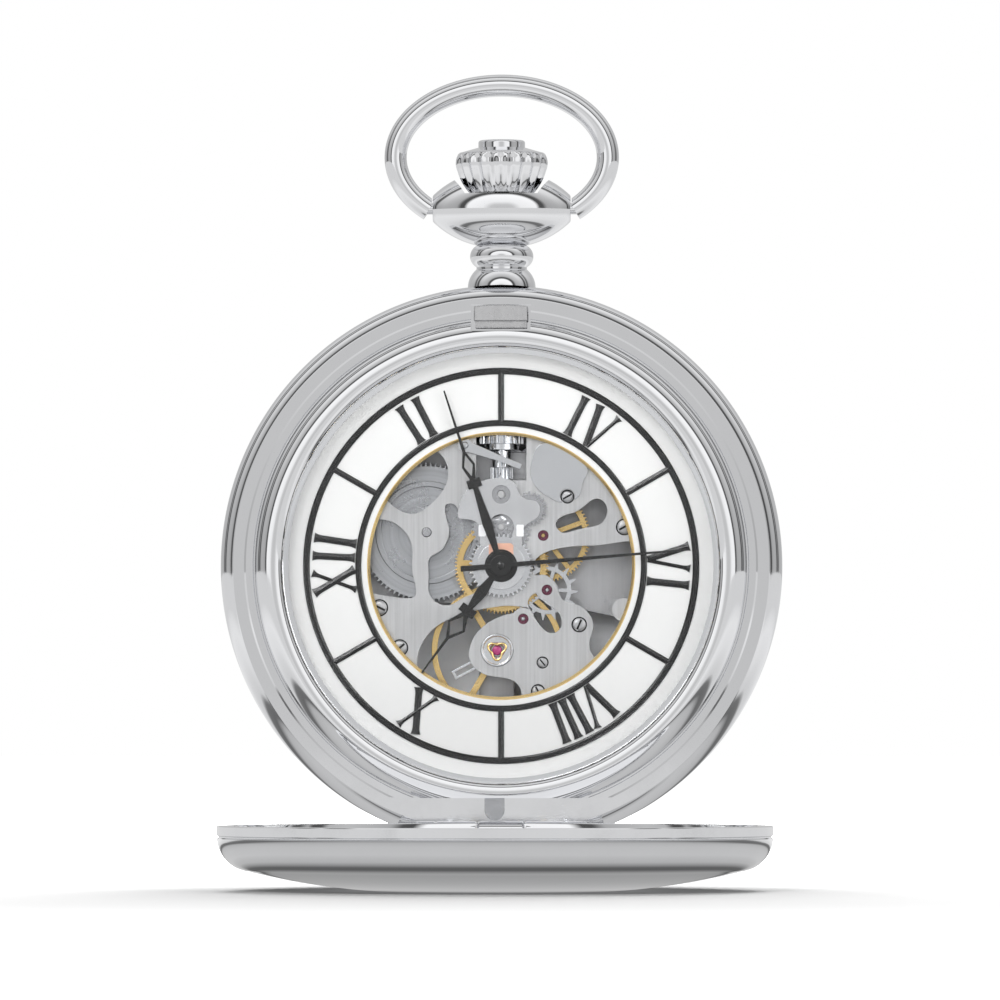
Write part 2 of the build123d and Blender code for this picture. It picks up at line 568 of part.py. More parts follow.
with BuildPart() as main_plate:
    with BuildSketch(face_at(PLATE_BACK)):
        Circle(MOVEMENT_R)
        for window in (UPPER_LEFT, LEFT, RIGHT_OF_BARREL, BALANCE_WINDOW, BEAN, UPPER_RIGHT, RIGHT):
            add(blob(window), mode=Mode.SUBTRACT)
        add(straight(STEM_CUT), mode=Mode.SUBTRACT)
        with Locations((10.46, -3.75)):
            Circle(1.0)
        with Locations((12.2, -4.1)):
            Rectangle(3.4, 1.3)
        with Locations(CENTRE_AT):
            Circle(1.7)
            Circle(0.62, mode=Mode.SUBTRACT)
        with Locations(BALANCE_AT):
            Circle(2.26)
            Circle(SETTING_HOLE_R, mode=Mode.SUBTRACT)
        with Locations(*JEWELS):
            Circle(0.95)
            Circle(JEWEL_R, mode=Mode.SUBTRACT)
        with Locations(BARREL_AT):
            Circle(1.1)
            Circle(0.37 + FIT, mode=Mode.SUBTRACT)
        with Locations(MINUTE_AT):
            Circle(0.3)
    extrude(amount=PLATE_BACK - PLATE_FRONT)
    with BuildSketch(face_at(PLATE_FRONT)):
        for x, z, radius in PLATE_SCREWS:
            with Locations((x, z)):
                Circle(radius + 0.12)
    extrude(amount=-0.3, mode=Mode.SUBTRACT)
    # Studs that the minute wheel and the setting wheels turn on.
    for place, stud_r in ((MINUTE_AT, 0.25), (SETTING_AT, 0.3), (SECOND_SETTING_AT, 0.2)):
        with BuildSketch(face_at(PLATE_FRONT)):
            with Locations(place):
                Circle(stud_r)
        extrude(amount=PLATE_FRONT - COVER_BACK)
finish(main_plate.part, "main_plate")

with BuildPart() as plate_screws:
    for x, z, radius in PLATE_SCREWS:
        with BuildSketch(face_at(PLATE_FRONT + 0.3)):
            with Locations((x, z)):
                Circle(radius)
        extrude(amount=SCREW_HEAD + 0.12)
        with BuildSketch(face_at(PLATE_FRONT - 0.07)):
            with Locations((x, z)):
                Rectangle(2 * radius, SCREW_SLOT, rotation=x * 37)
        extrude(amount=-0.12, mode=Mode.SUBTRACT)
finish(plate_screws.part, "plate_screws")

with BuildPart() as jewels:
    for place in JEWELS:
        with BuildSketch(face_at(PLATE_BACK)):
            with Locations(place):
                Circle(JEWEL_R)
                Circle(PIVOT_R + FIT, mode=Mode.SUBTRACT)
        extrude(amount=PLATE_BACK - PLATE_FRONT - 0.1)
finish(jewels.part, "jewels")

with BuildPart() as balance_setting:
    with BuildSketch(face_at(PLATE_BACK)):
        with Locations(BALANCE_AT):
            Circle(SETTING_HOLE_R - 0.02)
            Circle(0.62, mode=Mode.SUBTRACT)
    extrude(amount=PLATE_BACK - PLATE_FRONT)
    with BuildSketch(face_at(PLATE_FRONT)):
        with Locations(BALANCE_AT):
            Circle(1.2)
    extrude(amount=-0.2, mode=Mode.SUBTRACT)
finish(balance_setting.part, "balance_setting")

with BuildPart() as balance_jewel:
    with BuildSketch(face_at(PLATE_BACK - 0.1)):
        with Locations(BALANCE_AT):
            Circle(0.6)
    extrude(amount=0.75)
finish(balance_jewel.part, "balance_jewel")

with BuildPart() as shock_spring:
    with BuildSketch(face_at(PLATE_FRONT + 0.18)):
        with Locations(BALANCE_AT):
            Circle(1.1)
            Circle(0.66, mode=Mode.SUBTRACT)
        with Locations((BALANCE_AT[0] + 0.9, BALANCE_AT[1])):
            Rectangle(0.9, 0.5, mode=Mode.SUBTRACT)
    extrude(amount=0.12)
finish(shock_spring.part, "shock_spring")

with BuildPart() as movement_ring:
    with BuildSketch(face_at(CASE_DEPTH - 0.5)):
        Circle(18.95)
        Circle(MOVEMENT_R + 0.02, mode=Mode.SUBTRACT)
        with Locations((0, 18)):
            Rectangle(3.0, 4, mode=Mode.SUBTRACT)
    extrude(amount=CASE_DEPTH - 0.5 - DIAL_BACK)
finish(movement_ring.part, "movement_ring")

with BuildPart() as barrel_bridge:
    with BuildSketch(face_at(BARREL_BRIDGE_BACK)):
        Circle(MOVEMENT_R - 0.6)
        add(straight(((-30, -3.2), (-1.5, -3.2), (-1.5, 5.2), (2.6, 7.2), (2.6, 30), (30, 30), (30, -30), (-30, -30))),
            mode=Mode.SUBTRACT)
        with Locations(CENTRE_AT):
            Circle(1.6, mode=Mode.SUBTRACT)
        with Locations(BARREL_AT):
            Circle(0.85 + FIT, mode=Mode.SUBTRACT)
    extrude(amount=BARREL_BRIDGE_BACK - BARREL_BRIDGE_FRONT)
    with BuildSketch(face_at(BARREL_BRIDGE_FRONT)):
        for angle in (100, 190):
            with Locations(polar(16.2, angle)):
                Circle(0.9)
    extrude(amount=BARREL_BRIDGE_FRONT - PLATE_BACK)
    with BuildSketch(face_at(BARREL_BRIDGE_BACK)):
        with Locations(CROWN_WHEEL_AT):
            Circle(0.8)
    extrude(amount=-(WIND_BACK - BARREL_BRIDGE_BACK))
    with BuildSketch(face_at(BARREL_BRIDGE_BACK)):
        with Locations((0, 11.2)):
            Rectangle(4.4, 2.8)
    extrude(amount=BARREL_BRIDGE_BACK - BARREL_BRIDGE_FRONT, mode=Mode.SUBTRACT)
finish(barrel_bridge.part, "barrel_bridge")

TRAIN_BRIDGE_EDGE = ((-1.8, -1.8), (-1.8, 2.4), (2.0, 6.2), (6.5, 17.0), (18.0, 12.0), (18.2, -6.0), (5.6, -3.4))
with BuildPart() as train_bridge:
    with BuildSketch(face_at(BRIDGE_BACK)):
        add(straight(TRAIN_BRIDGE_EDGE))
        Circle(MOVEMENT_R - 0.6, mode=Mode.INTERSECT)
        with Locations(CENTRE_AT, THIRD_AT, ESCAPE_AT):
            Circle(PIVOT_R + FIT, mode=Mode.SUBTRACT)
    extrude(amount=BRIDGE_BACK - BRIDGE_FRONT)
    with BuildSketch(face_at(BRIDGE_FRONT)):
        for angle in (58, -12):
            with Locations(polar(16.2, angle)):
                Circle(1.0)
    extrude(amount=BRIDGE_FRONT - PLATE_BACK)
finish(train_bridge.part, "train_bridge")

COCK_FOOT = polar(15.9, 268)
with BuildPart() as balance_cock:
    with BuildSketch(face_at(COCK_BACK)):
        with Locations(BALANCE_AT):
            Circle(1.9)
        with Locations(COCK_FOOT):
            Circle(2.0)
        with Locations(((BALANCE_AT[0] + COCK_FOOT[0]) / 2, (BALANCE_AT[1] + COCK_FOOT[1]) / 2)):
            Rectangle(3.0, distance(BALANCE_AT, COCK_FOOT))
        with Locations(BALANCE_AT):
            Circle(PIVOT_R + FIT, mode=Mode.SUBTRACT)
    extrude(amount=COCK_BACK - COCK_FRONT)
    with BuildSketch(face_at(COCK_FRONT)):
        with Locations(COCK_FOOT):
            Circle(1.7)
    extrude(amount=COCK_FRONT - PLATE_BACK)
finish(balance_cock.part, "balance_cock")

with BuildPart() as regulator:
    # Slotted index block beside the balance, with two brass pins.
    with BuildSketch(face_at(PLATE_BACK + 0.6)):
        with Locations((-3.15, -8.85)):
            Rectangle(2.2, 0.8, rotation=28)
            Rectangle(1.7, 0.4, rotation=28, mode=Mode.SUBTRACT)
    extrude(amount=0.5)
finish(regulator.part, "regulator")

# ---------------------------------------------------------------- keyless work
with BuildPart() as motion_cover:
    # Cover over the minute and setting wheels, with a round and an arched window.
    with BuildSketch(face_at(COVER_BACK)):
        add(blob(((-3.7, 4.3), (-3.5, 5.4), (-2.9, 6.5), (-1.7, 7.2), (0.0, 7.5), (1.1, 7.1), (1.6, 6.1), (2.1, 5.7),
                  (3.1, 5.4), (3.2, 4.3), (2.3, 3.6), (1.75, 2.6), (1.7, 1.6), (1.2, 1.45), (-1.2, 1.45),
                  (-1.7, 1.7), (-1.75, 3.0), (-2.5, 3.9))))
        with Locations((0, 6.09)):
            Circle(0.8, mode=Mode.SUBTRACT)
        with Locations((0, 3.3)):
            Circle(1.1, mode=Mode.SUBTRACT)
        with Locations((0, 2.1)):
            Rectangle(1.9, 2.4, mode=Mode.SUBTRACT)
    extrude(amount=COVER_BACK - COVER_FRONT)
finish(motion_cover.part, "motion_cover")

with BuildPart() as setting_bridge:
    # Setting-jumper plate over the lever at the upper right.
    with BuildSketch(face_at(PLATE_FRONT)):
        add(blob(((2.5, 8.2), (2.9, 6.8), (4.0, 5.9), (5.5, 5.4), (6.7, 6.1), (7.0, 7.2), (7.4, 8.1), (6.6, 9.1),
                  (5.4, 10.0), (3.4, 10.4))))
        with Locations((5.64, 5.92)):
            Circle(0.66, mode=Mode.SUBTRACT)
    extrude(amount=0.28)
finish(setting_bridge.part, "setting_bridge")

LEVER_PIVOT = (3.3, 11.6)
with BuildPart() as setting_lever:
    with BuildSketch(face_at(PLATE_FRONT)):
        add(blob(((2.5, 12.3), (2.6, 11.0), (3.4, 10.75), (4.3, 10.9), (5.0, 12.1), (4.2, 13.4), (2.9, 13.3))))
        with Locations(LEVER_PIVOT):
            Circle(0.3, mode=Mode.SUBTRACT)
    extrude(amount=0.28)
finish(setting_lever.part, "setting_lever")

YOKE_PIVOT = (-3.1, 10.3)
with BuildPart() as yoke:
    # Yoke that moves the sliding clutch: a slim lever across the stem.
    with BuildSketch(face_at(PLATE_FRONT - 0.05)):
        with Locations(YOKE_PIVOT):
            Circle(0.62)
        add(straight(((-3.3, 9.85), (-0.4, 9.0), (1.6, 8.25), (1.75, 8.7), (-0.2, 9.5), (-3.0, 10.75))))
        with Locations(YOKE_PIVOT):
            Circle(0.28, mode=Mode.SUBTRACT)
    extrude(amount=0.25)
finish(yoke.part, "yoke")

CLICK_AT = (-12.3, 7.6)
with BuildPart() as studs:
    # Shouldered studs that the yoke, the setting lever and the click turn on.
    for place, foot, top, stud_r in ((YOKE_PIVOT, PLATE_FRONT, PLATE_FRONT - 0.4, 0.23),
                                     (LEVER_PIVOT, PLATE_FRONT, PLATE_FRONT - 0.38, 0.25),
                                     (CLICK_AT, WIND_BACK, BARREL_BRIDGE_BACK, 0.3)):
        with BuildSketch(face_at(foot)):
            with Locations(place):
                Circle(stud_r)
        extrude(amount=foot - top)
finish(studs.part, "studs")


def clear_hub(radius):
    """Bore that turns freely on a stud of RADIUS."""
    return radius + FIT


setting_module = pair_module(SETTING_AT, SECOND_SETTING_AT, SETTING_TEETH, SECOND_SETTING_TEETH)
setting_way = direction(SETTING_AT, SECOND_SETTING_AT)
minute_way = direction(SECOND_SETTING_AT, MINUTE_AT)
setting_pinion_module = pair_module(SECOND_SETTING_AT, MINUTE_AT, SETTING_PINION_TEETH, MINUTE_WHEEL_TEETH)
cannon_module = pair_module(CENTRE_AT, MINUTE_AT, CANNON_TEETH, MINUTE_WHEEL_TEETH)
hour_module = pair_module(CENTRE_AT, MINUTE_AT, MINUTE_PINION_TEETH, HOUR_WHEEL_TEETH)
UP = 90

with BuildPart() as setting_wheel:
    with BuildSketch(face_at(UPPER_BACK)):
        with Locations(SETTING_AT):
            add(tooth_ring(SETTING_TEETH, setting_module, setting_way))
            Circle(clear_hub(0.3), mode=Mode.SUBTRACT)
    extrude(amount=UPPER_BACK - UPPER_FRONT)
finish(setting_wheel.part, "setting_wheel")

with BuildPart() as second_setting_wheel:
    with BuildSketch(face_at(UPPER_BACK)):
        with Locations(SECOND_SETTING_AT):
            add(tooth_ring(SECOND_SETTING_TEETH, setting_module, setting_way + 180 + 180 / SECOND_SETTING_TEETH))
            Circle(clear_hub(0.2), mode=Mode.SUBTRACT)
    extrude(amount=UPPER_BACK - UPPER_FRONT)
    with BuildSketch(face_at(LOWER_BACK)):
        with Locations(SECOND_SETTING_AT):
            add(tooth_ring(SETTING_PINION_TEETH, setting_pinion_module, minute_way, slack=0.7))
            Circle(clear_hub(0.2), mode=Mode.SUBTRACT)
    extrude(amount=LOWER_BACK - UPPER_BACK)
finish(second_setting_wheel.part, "second_setting_wheel")

with BuildPart() as minute_wheel:
    # One tooth gap faces the cannon pinion, straight down.
    with BuildSketch(face_at(LOWER_BACK)):
        with Locations(MINUTE_AT):
            add(tooth_ring(MINUTE_WHEEL_TEETH, cannon_module, -UP + 180 / MINUTE_WHEEL_TEETH))
            Circle(clear_hub(0.25), mode=Mode.SUBTRACT)
    extrude(amount=LOWER_BACK - LOWER_FRONT)
    with BuildSketch(face_at(LOWER_FRONT)):
        with Locations(MINUTE_AT):
            add(tooth_ring(MINUTE_PINION_TEETH, hour_module, -UP, slack=0.7))
            Circle(clear_hub(0.25), mode=Mode.SUBTRACT)
    extrude(amount=LOWER_FRONT - UPPER_FRONT)
finish(minute_wheel.part, "minute_wheel")

with BuildPart() as hour_wheel:
    with BuildSketch(face_at(UPPER_BACK)):
        add(tooth_ring(HOUR_WHEEL_TEETH, hour_module, UP + 180 / HOUR_WHEEL_TEETH))
        Circle(CANNON_R + FIT, mode=Mode.SUBTRACT)
    extrude(amount=UPPER_BACK - UPPER_FRONT)
    with BuildSketch(face_at(UPPER_FRONT)):
        Circle(HOUR_PIPE_R - 0.005)
        Circle(CANNON_R + FIT, mode=Mode.SUBTRACT)
    extrude(amount=UPPER_FRONT - HOUR_DEPTH)
finish(hour_wheel.part, "hour_wheel")

# ---------------------------------------------------------------- going train
with BuildPart() as cannon_pinion:
    with BuildSketch(face_at(LOWER_BACK)):
        add(tooth_ring(CANNON_TEETH, cannon_module, UP))
        Circle(0.3, mode=Mode.SUBTRACT)
    extrude(amount=LOWER_BACK - LOWER_FRONT)
    with BuildSketch(face_at(LOWER_FRONT)):
        Circle(CANNON_R - 0.005)
        Circle(0.3, mode=Mode.SUBTRACT)
    extrude(amount=LOWER_FRONT - MINUTE_DEPTH)
finish(cannon_pinion.part, "cannon_pinion")

barrel_module = pair_module(BARREL_AT, CENTRE_AT, BARREL_TEETH, CENTRE_PINION_TEETH)
centre_module = pair_module(CENTRE_AT, THIRD_AT, CENTRE_TEETH, THIRD_PINION_TEETH)
third_module = pair_module(THIRD_AT, CENTRE_AT, THIRD_TEETH, FOURTH_PINION_TEETH)
fourth_module = pair_module(CENTRE_AT, ESCAPE_AT, FOURTH_TEETH, ESCAPE_PINION_TEETH)
barrel_way = direction(BARREL_AT, CENTRE_AT)
third_way = direction(CENTRE_AT, THIRD_AT)
escape_way = direction(CENTRE_AT, ESCAPE_AT)

with BuildPart() as centre_wheel:
    with BuildSketch(face_at(CENTRE_BACK)):
        add(spoked(CENTRE_TEETH, centre_module, third_way, 0.5, 5, 31, 0.5, 0.95, 0.56))
    extrude(amount=CENTRE_BACK - CENTRE_FRONT)
finish(centre_wheel.part, "centre_wheel")

with BuildPart() as centre_arbor:
    # Hollow arbor: pinion behind the wheel, tube forward through the plate.
    with BuildSketch(face_at(3.5)):
        add(tooth_ring(CENTRE_PINION_TEETH, barrel_module, barrel_way + 180 + 180 / CENTRE_PINION_TEETH))
        Circle(SECOND_ARBOR_R + FIT, mode=Mode.SUBTRACT)
    extrude(amount=3.5 - 2.7)
    with BuildSketch(face_at(2.7)):
        Circle(0.555)
        Circle(SECOND_ARBOR_R + FIT, mode=Mode.SUBTRACT)
    extrude(amount=2.7 - LOWER_BACK)
    with BuildSketch(face_at(LOWER_BACK)):
        Circle(0.295)
        Circle(SECOND_ARBOR_R + FIT, mode=Mode.SUBTRACT)
    extrude(amount=LOWER_BACK - MINUTE_DEPTH)
finish(centre_arbor.part, "centre_arbor")

with BuildPart() as barrel:
    with BuildSketch(face_at(BARREL_TEETH_BACK)):
        with Locations(BARREL_AT):
            add(tooth_ring(BARREL_TEETH, barrel_module, barrel_way))
            Circle(0.85 + FIT, mode=Mode.SUBTRACT)
    extrude(amount=BARREL_TEETH_BACK - BARREL_FRONT)
    with BuildSketch(face_at(BARREL_FRONT)):
        with Locations(BARREL_AT):
            Circle(4.4)
            Circle(3.95, mode=Mode.SUBTRACT)
    extrude(amount=0.15)
    with BuildSketch(face_at(BARREL_BACK)):
        with Locations(BARREL_AT):
            Circle(5.5)
            Circle(5.1, mode=Mode.SUBTRACT)
    extrude(amount=BARREL_BACK - BARREL_TEETH_BACK)
finish(barrel.part, "barrel")

with BuildPart() as mainspring:
    # The wound spring as one closed annulus that fills the drum.
    with BuildSketch(face_at(BARREL_BACK - 0.05)):
        with Locations(BARREL_AT):
            Circle(5.0)
            Circle(2.2, mode=Mode.SUBTRACT)
    extrude(amount=BARREL_BACK - BARREL_TEETH_BACK - 0.1)
finish(mainspring.part, "mainspring")

with BuildPart() as barrel_arbor:
    with BuildSketch(face_at(WIND_BACK)):
        with Locations(BARREL_AT):
            Circle(0.85)
    extrude(amount=WIND_BACK - PLATE_BACK - 0.05)
    with BuildSketch(face_at(PLATE_BACK + 0.05)):
        with Locations(BARREL_AT):
            Circle(0.37)
    extrude(amount=PLATE_BACK - PLATE_FRONT + 0.1)
finish(barrel_arbor.part, "barrel_arbor")

wind_module = pair_module(CROWN_WHEEL_AT, BARREL_AT, CROWN_WHEEL_TEETH, RATCHET_TEETH)
ratchet_way = direction(CROWN_WHEEL_AT, BARREL_AT)
tooth_step = 360 / CROWN_WHEEL_TEETH
crown_tooth_off = (ratchet_way - UP) % tooth_step
ratchet_tooth_at = ratchet_way + 180 + (180 + crown_tooth_off / tooth_step * 360) / RATCHET_TEETH

with BuildPart() as crown_wheel:
    with BuildSketch(face_at(WIND_BACK)):
        with Locations(CROWN_WHEEL_AT):
            add(tooth_ring(CROWN_WHEEL_TEETH, wind_module, UP, slack=0.75))
            Circle(0.8 + FIT, mode=Mode.SUBTRACT)
    extrude(amount=WIND_BACK - WIND_FRONT)
finish(crown_wheel.part, "crown_wheel")

with BuildPart() as ratchet_wheel:
    with BuildSketch(face_at(WIND_BACK)):
        with Locations(BARREL_AT):
            add(tooth_ring(RATCHET_TEETH, wind_module, ratchet_tooth_at, slack=0.75))
            Circle(0.86, mode=Mode.SUBTRACT)
    extrude(amount=WIND_BACK - WIND_FRONT)
finish(ratchet_wheel.part, "ratchet_wheel")

with BuildPart() as click:
    with BuildSketch(face_at(WIND_BACK)):
        with Locations(CLICK_AT):
            Circle(0.8)
        add(straight(((-12.6, 7.0), (-10.75, 5.75), (-10.5, 6.1), (-11.9, 8.2))))
        with Locations(CLICK_AT):
            Circle(0.35, mode=Mode.SUBTRACT)
    extrude(amount=WIND_BACK - WIND_FRONT)
finish(click.part, "click")

PINION_Z = (10.45, 12.3)
CLUTCH_TEETH = 14
with BuildPart() as winding_pinion:
    # Fluted pinion, free on the stem, that drives the crown wheel.
    with BuildSketch(stem_plane_at(PINION_Z[0])):
        add(tooth_ring(WIND_PINION_TEETH, 2 * 1.75 / WIND_PINION_TEETH, UP + 180 / WIND_PINION_TEETH, slack=0.75))
        Circle(STEM_R + FIT, mode=Mode.SUBTRACT)
    extrude(amount=PINION_Z[1] - PINION_Z[0])
    with BuildSketch(stem_plane_at(PINION_Z[0] - 0.5)):
        Circle(1.35)
        Circle(STEM_R + FIT, mode=Mode.SUBTRACT)
    extrude(amount=0.5)
finish(winding_pinion.part, "winding_pinion")

with BuildPart() as clutch:
    with BuildSketch(stem_plane_at(7.45)):
        add(tooth_ring(CLUTCH_TEETH, 2 * 0.9 / CLUTCH_TEETH, UP))
        Circle(STEM_R + FIT, mode=Mode.SUBTRACT)
    extrude(amount=1.0)
    with BuildSketch(stem_plane_at(8.45)):
        Circle(0.8)
        Circle(STEM_R + FIT, mode=Mode.SUBTRACT)
    extrude(amount=1.4)
finish(clutch.part, "clutch")

with BuildPart() as third_wheel:
    with BuildSketch(face_at(THIRD_BACK)):
        with Locations(THIRD_AT):
            add(spoked(THIRD_TEETH, third_module, third_way + 180, 0.4, 5, 20, 0.42, 0.7, 0.2))
    extrude(amount=THIRD_BACK - THIRD_FRONT)
    with BuildSketch(face_at(2.8)):
        with Locations(THIRD_AT):
            add(tooth_ring(THIRD_PINION_TEETH, centre_module, third_way + 180 + 180 / THIRD_PINION_TEETH))
    extrude(amount=0.4)
    with BuildSketch(face_at(BRIDGE_FRONT - 0.05)):
        with Locations(THIRD_AT):
            Circle(0.25)
    extrude(amount=BRIDGE_FRONT - 0.05 - 2.6)
    with BuildSketch(face_at(BRIDGE_BACK - 0.1)):
        with Locations(THIRD_AT):
            Circle(PIVOT_R)
    extrude(amount=BRIDGE_BACK - 0.1 - PLATE_FRONT - 0.15)
finish(third_wheel.part, "third_wheel")

with BuildPart() as fourth_wheel:
    with BuildSketch(face_at(FOURTH_BACK)):
        add(spoked(FOURTH_TEETH, fourth_module, escape_way, 0.4, 4, 10, 0.42, 0.7, 0.1))
    extrude(amount=FOURTH_BACK - FOURTH_FRONT)
    with BuildSketch(face_at(FOURTH_FRONT)):
        add(tooth_ring(FOURTH_PINION_TEETH, third_module, third_way + 180 / FOURTH_PINION_TEETH))
    extrude(amount=FOURTH_FRONT - 4.2)
    with BuildSketch(face_at(FOURTH_BACK)):
        Circle(SECOND_ARBOR_R - 0.005)
    extrude(amount=FOURTH_BACK - SECOND_DEPTH)
    with BuildSketch(face_at(BRIDGE_BACK - 0.1)):
        Circle(PIVOT_R)
    extrude(amount=BRIDGE_BACK - 0.1 - FOURTH_FRONT)
finish(fourth_wheel.part, "fourth_wheel")

ESCAPE_R = 2.6
FORK_WAY = direction(ESCAPE_AT, FORK_AT)
with BuildPart() as escape_wheel:
    # Fifteen slim hooked teeth; the fork's two stones stand between teeth at rest.
    with BuildSketch(face_at(ESCAPE_BACK)):
        with Locations(ESCAPE_AT):
            with BuildSketch(mode=Mode.PRIVATE) as ring:
                for tooth in range(ESCAPE_TEETH):
                    middle = FORK_WAY + 6 + tooth * 360 / ESCAPE_TEETH
                    Polygon(polar(1.95, middle - 7), polar(ESCAPE_R, middle), polar(ESCAPE_R, middle + 2),
                            polar(1.95, middle + 5), align=None)
                Circle(2.05)
                Circle(1.7, mode=Mode.SUBTRACT)
                with PolarLocations(0, 5):
                    with Locations((0.9, 0)):
                        Rectangle(1.75, 0.3)
                Circle(0.5)
            add(ring.sketch)
    extrude(amount=ESCAPE_BACK - ESCAPE_FRONT)
    with BuildSketch(face_at(FOURTH_BACK + 0.05)):
        with Locations(ESCAPE_AT):
            add(tooth_ring(ESCAPE_PINION_TEETH, fourth_module, escape_way + 180 + 180 / ESCAPE_PINION_TEETH))
    extrude(amount=0.35)
    with BuildSketch(face_at(BRIDGE_FRONT - 0.05)):
        with Locations(ESCAPE_AT):
            Circle(0.22)
    extrude(amount=BRIDGE_FRONT - 0.05 - 2.6)
    with BuildSketch(face_at(BRIDGE_BACK - 0.1)):
        with Locations(ESCAPE_AT):
            Circle(PIVOT_R)
    extrude(amount=BRIDGE_BACK - 0.1 - PLATE_FRONT - 0.15)
finish(escape_wheel.part, "escape_wheel")

balance_way = direction(FORK_AT, BALANCE_AT)
escape_side = direction(FORK_AT, ESCAPE_AT)
with BuildPart() as pallet_fork:
    with BuildSketch(face_at(FORK_BACK)):
        with Locations(FORK_AT):
            with BuildSketch(mode=Mode.PRIVATE) as fork:
                Circle(0.5)
                for side in (-1, 1):
                    Polygon(polar(0.35, escape_side - 90), polar(0.35, escape_side + 90),
                            polar(1.66, escape_side + side * 60), polar(1.66, escape_side + side * 48), align=None)
                Polygon(polar(0.4, balance_way - 60), polar(2.75, balance_way - 3), polar(2.75, balance_way + 3),
                        polar(0.4, balance_way + 60), align=None)
            add(fork.sketch)
    extrude(amount=FORK_BACK - FORK_FRONT)
    with BuildSketch(face_at(BALANCE_FRONT - FIT)):
        with Locations(FORK_AT):
            Circle(0.22)
    extrude(amount=BALANCE_FRONT - FIT - 2.4)
    with BuildSketch(face_at(FORK_BACK)):
        with Locations(FORK_AT):
            Circle(PIVOT_R)
    extrude(amount=FORK_BACK - PLATE_FRONT - 0.15)
finish(pallet_fork.part, "pallet_fork")

BALANCE_R, BALANCE_INNER, STAFF_R = 5.65, 5.15, 0.3
with BuildPart() as balance_wheel:
    with BuildSketch(face_at(BALANCE_BACK)):
        with Locations(BALANCE_AT):
            Circle(BALANCE_R)
            Circle(BALANCE_INNER, mode=Mode.SUBTRACT)
            with PolarLocations(0, 3):
                with Locations((BALANCE_INNER / 2, 0)):
                    Rectangle(BALANCE_INNER + 0.2, 0.55)
            Circle(0.9)
            Circle(STAFF_R + 0.005, mode=Mode.SUBTRACT)
    extrude(amount=BALANCE_BACK - BALANCE_FRONT)
finish(balance_wheel.part, "balance_wheel")

with BuildPart() as balance_staff:
    # Staff with its roller and impulse pin in front of the wheel.
    with BuildSketch(face_at(COCK_FRONT - 0.05)):
        with Locations(BALANCE_AT):
            Circle(STAFF_R)
    extrude(amount=COCK_FRONT - PLATE_BACK - 0.1)
    with BuildSketch(face_at(BALANCE_FRONT)):
        with Locations(BALANCE_AT):
            Circle(0.55)
    extrude(amount=0.15)
finish(balance_staff.part, "balance_staff")

with BuildPart() as hairspring:
    # Flat spiral with its stud at the outer end.
    with BuildSketch(face_at(HAIR_BACK)):
        with Locations(BALANCE_AT):
            for coil in range(6):
                with BuildSketch(mode=Mode.PRIVATE) as turn:
                    Circle(0.60 + 0.30 * coil)
                    Circle(0.52 + 0.30 * coil, mode=Mode.SUBTRACT)
                add(turn.sketch)
            with Locations((0, -1.35)):
                Rectangle(0.12, 1.6)
    extrude(amount=HAIR_BACK - HAIR_FRONT)
finish(hairspring.part, "hairspring")
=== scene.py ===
"""Looks of a hunter-cased pocket watch that stands open on its lid.

Its open-centre dial lies over a hand-wound movement.

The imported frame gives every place. Sizes in the classes are millimetres, and each mesh is written in metres.
"""

from __future__ import annotations

import json
import logging
import math
from dataclasses import dataclass
from enum import Enum
from typing import Callable, Iterable, Sequence

import bmesh
import bpy
from mathutils import Matrix, Vector

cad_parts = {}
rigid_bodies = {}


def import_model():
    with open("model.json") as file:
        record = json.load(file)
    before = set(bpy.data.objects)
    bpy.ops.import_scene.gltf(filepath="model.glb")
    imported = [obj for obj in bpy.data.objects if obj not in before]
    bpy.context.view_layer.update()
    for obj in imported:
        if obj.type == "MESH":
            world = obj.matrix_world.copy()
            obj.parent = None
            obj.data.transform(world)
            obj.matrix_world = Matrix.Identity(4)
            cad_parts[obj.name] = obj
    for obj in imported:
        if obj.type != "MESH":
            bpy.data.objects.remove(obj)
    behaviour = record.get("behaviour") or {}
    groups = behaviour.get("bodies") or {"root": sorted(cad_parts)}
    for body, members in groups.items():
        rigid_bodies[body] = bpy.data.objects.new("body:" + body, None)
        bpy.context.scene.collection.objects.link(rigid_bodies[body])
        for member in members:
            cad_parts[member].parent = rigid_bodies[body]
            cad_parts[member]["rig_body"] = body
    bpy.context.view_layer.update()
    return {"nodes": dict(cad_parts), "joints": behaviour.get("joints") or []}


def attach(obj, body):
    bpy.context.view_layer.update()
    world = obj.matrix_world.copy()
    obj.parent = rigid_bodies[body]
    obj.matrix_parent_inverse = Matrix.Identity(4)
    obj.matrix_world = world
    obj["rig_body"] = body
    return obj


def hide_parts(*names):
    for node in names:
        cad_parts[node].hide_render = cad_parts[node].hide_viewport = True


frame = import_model()

MM = 0.001
UNIT = Matrix.Scale(1000.0, 4)
Point = tuple[float, float]
Spot = tuple[float, float, float]
Stops = tuple[tuple[float, float], ...]
JOINTS = {joint["name"]: joint for joint in frame["joints"]}
DIAL_CENTRE = Vector(JOINTS["hands_turn"]["pos_m"])
HINGE_AT = Vector(JOINTS["lid_hinge"]["pos_m"])
BOW_PIVOT = Vector(JOINTS["bow_swing"]["pos_m"])
# How far the stem's axis lies behind the lid's seat.
STEM_DEPTH = 2.9
SEAT_Y = DIAL_CENTRE.y - STEM_DEPTH * MM
FOOT = Matrix.Identity(4)
LOG = logging.getLogger("pocket_watch")


# ---------------------------------------------------------------- placing
def dial_frame() -> Matrix:
    """Frame of the dial: x right, y up, z towards the wearer, with its origin on the lid's seat."""
    return Matrix(((1, 0, 0, 0), (0, 0, -1, SEAT_Y), (0, 1, 0, DIAL_CENTRE.z), (0, 0, 0, 1)))


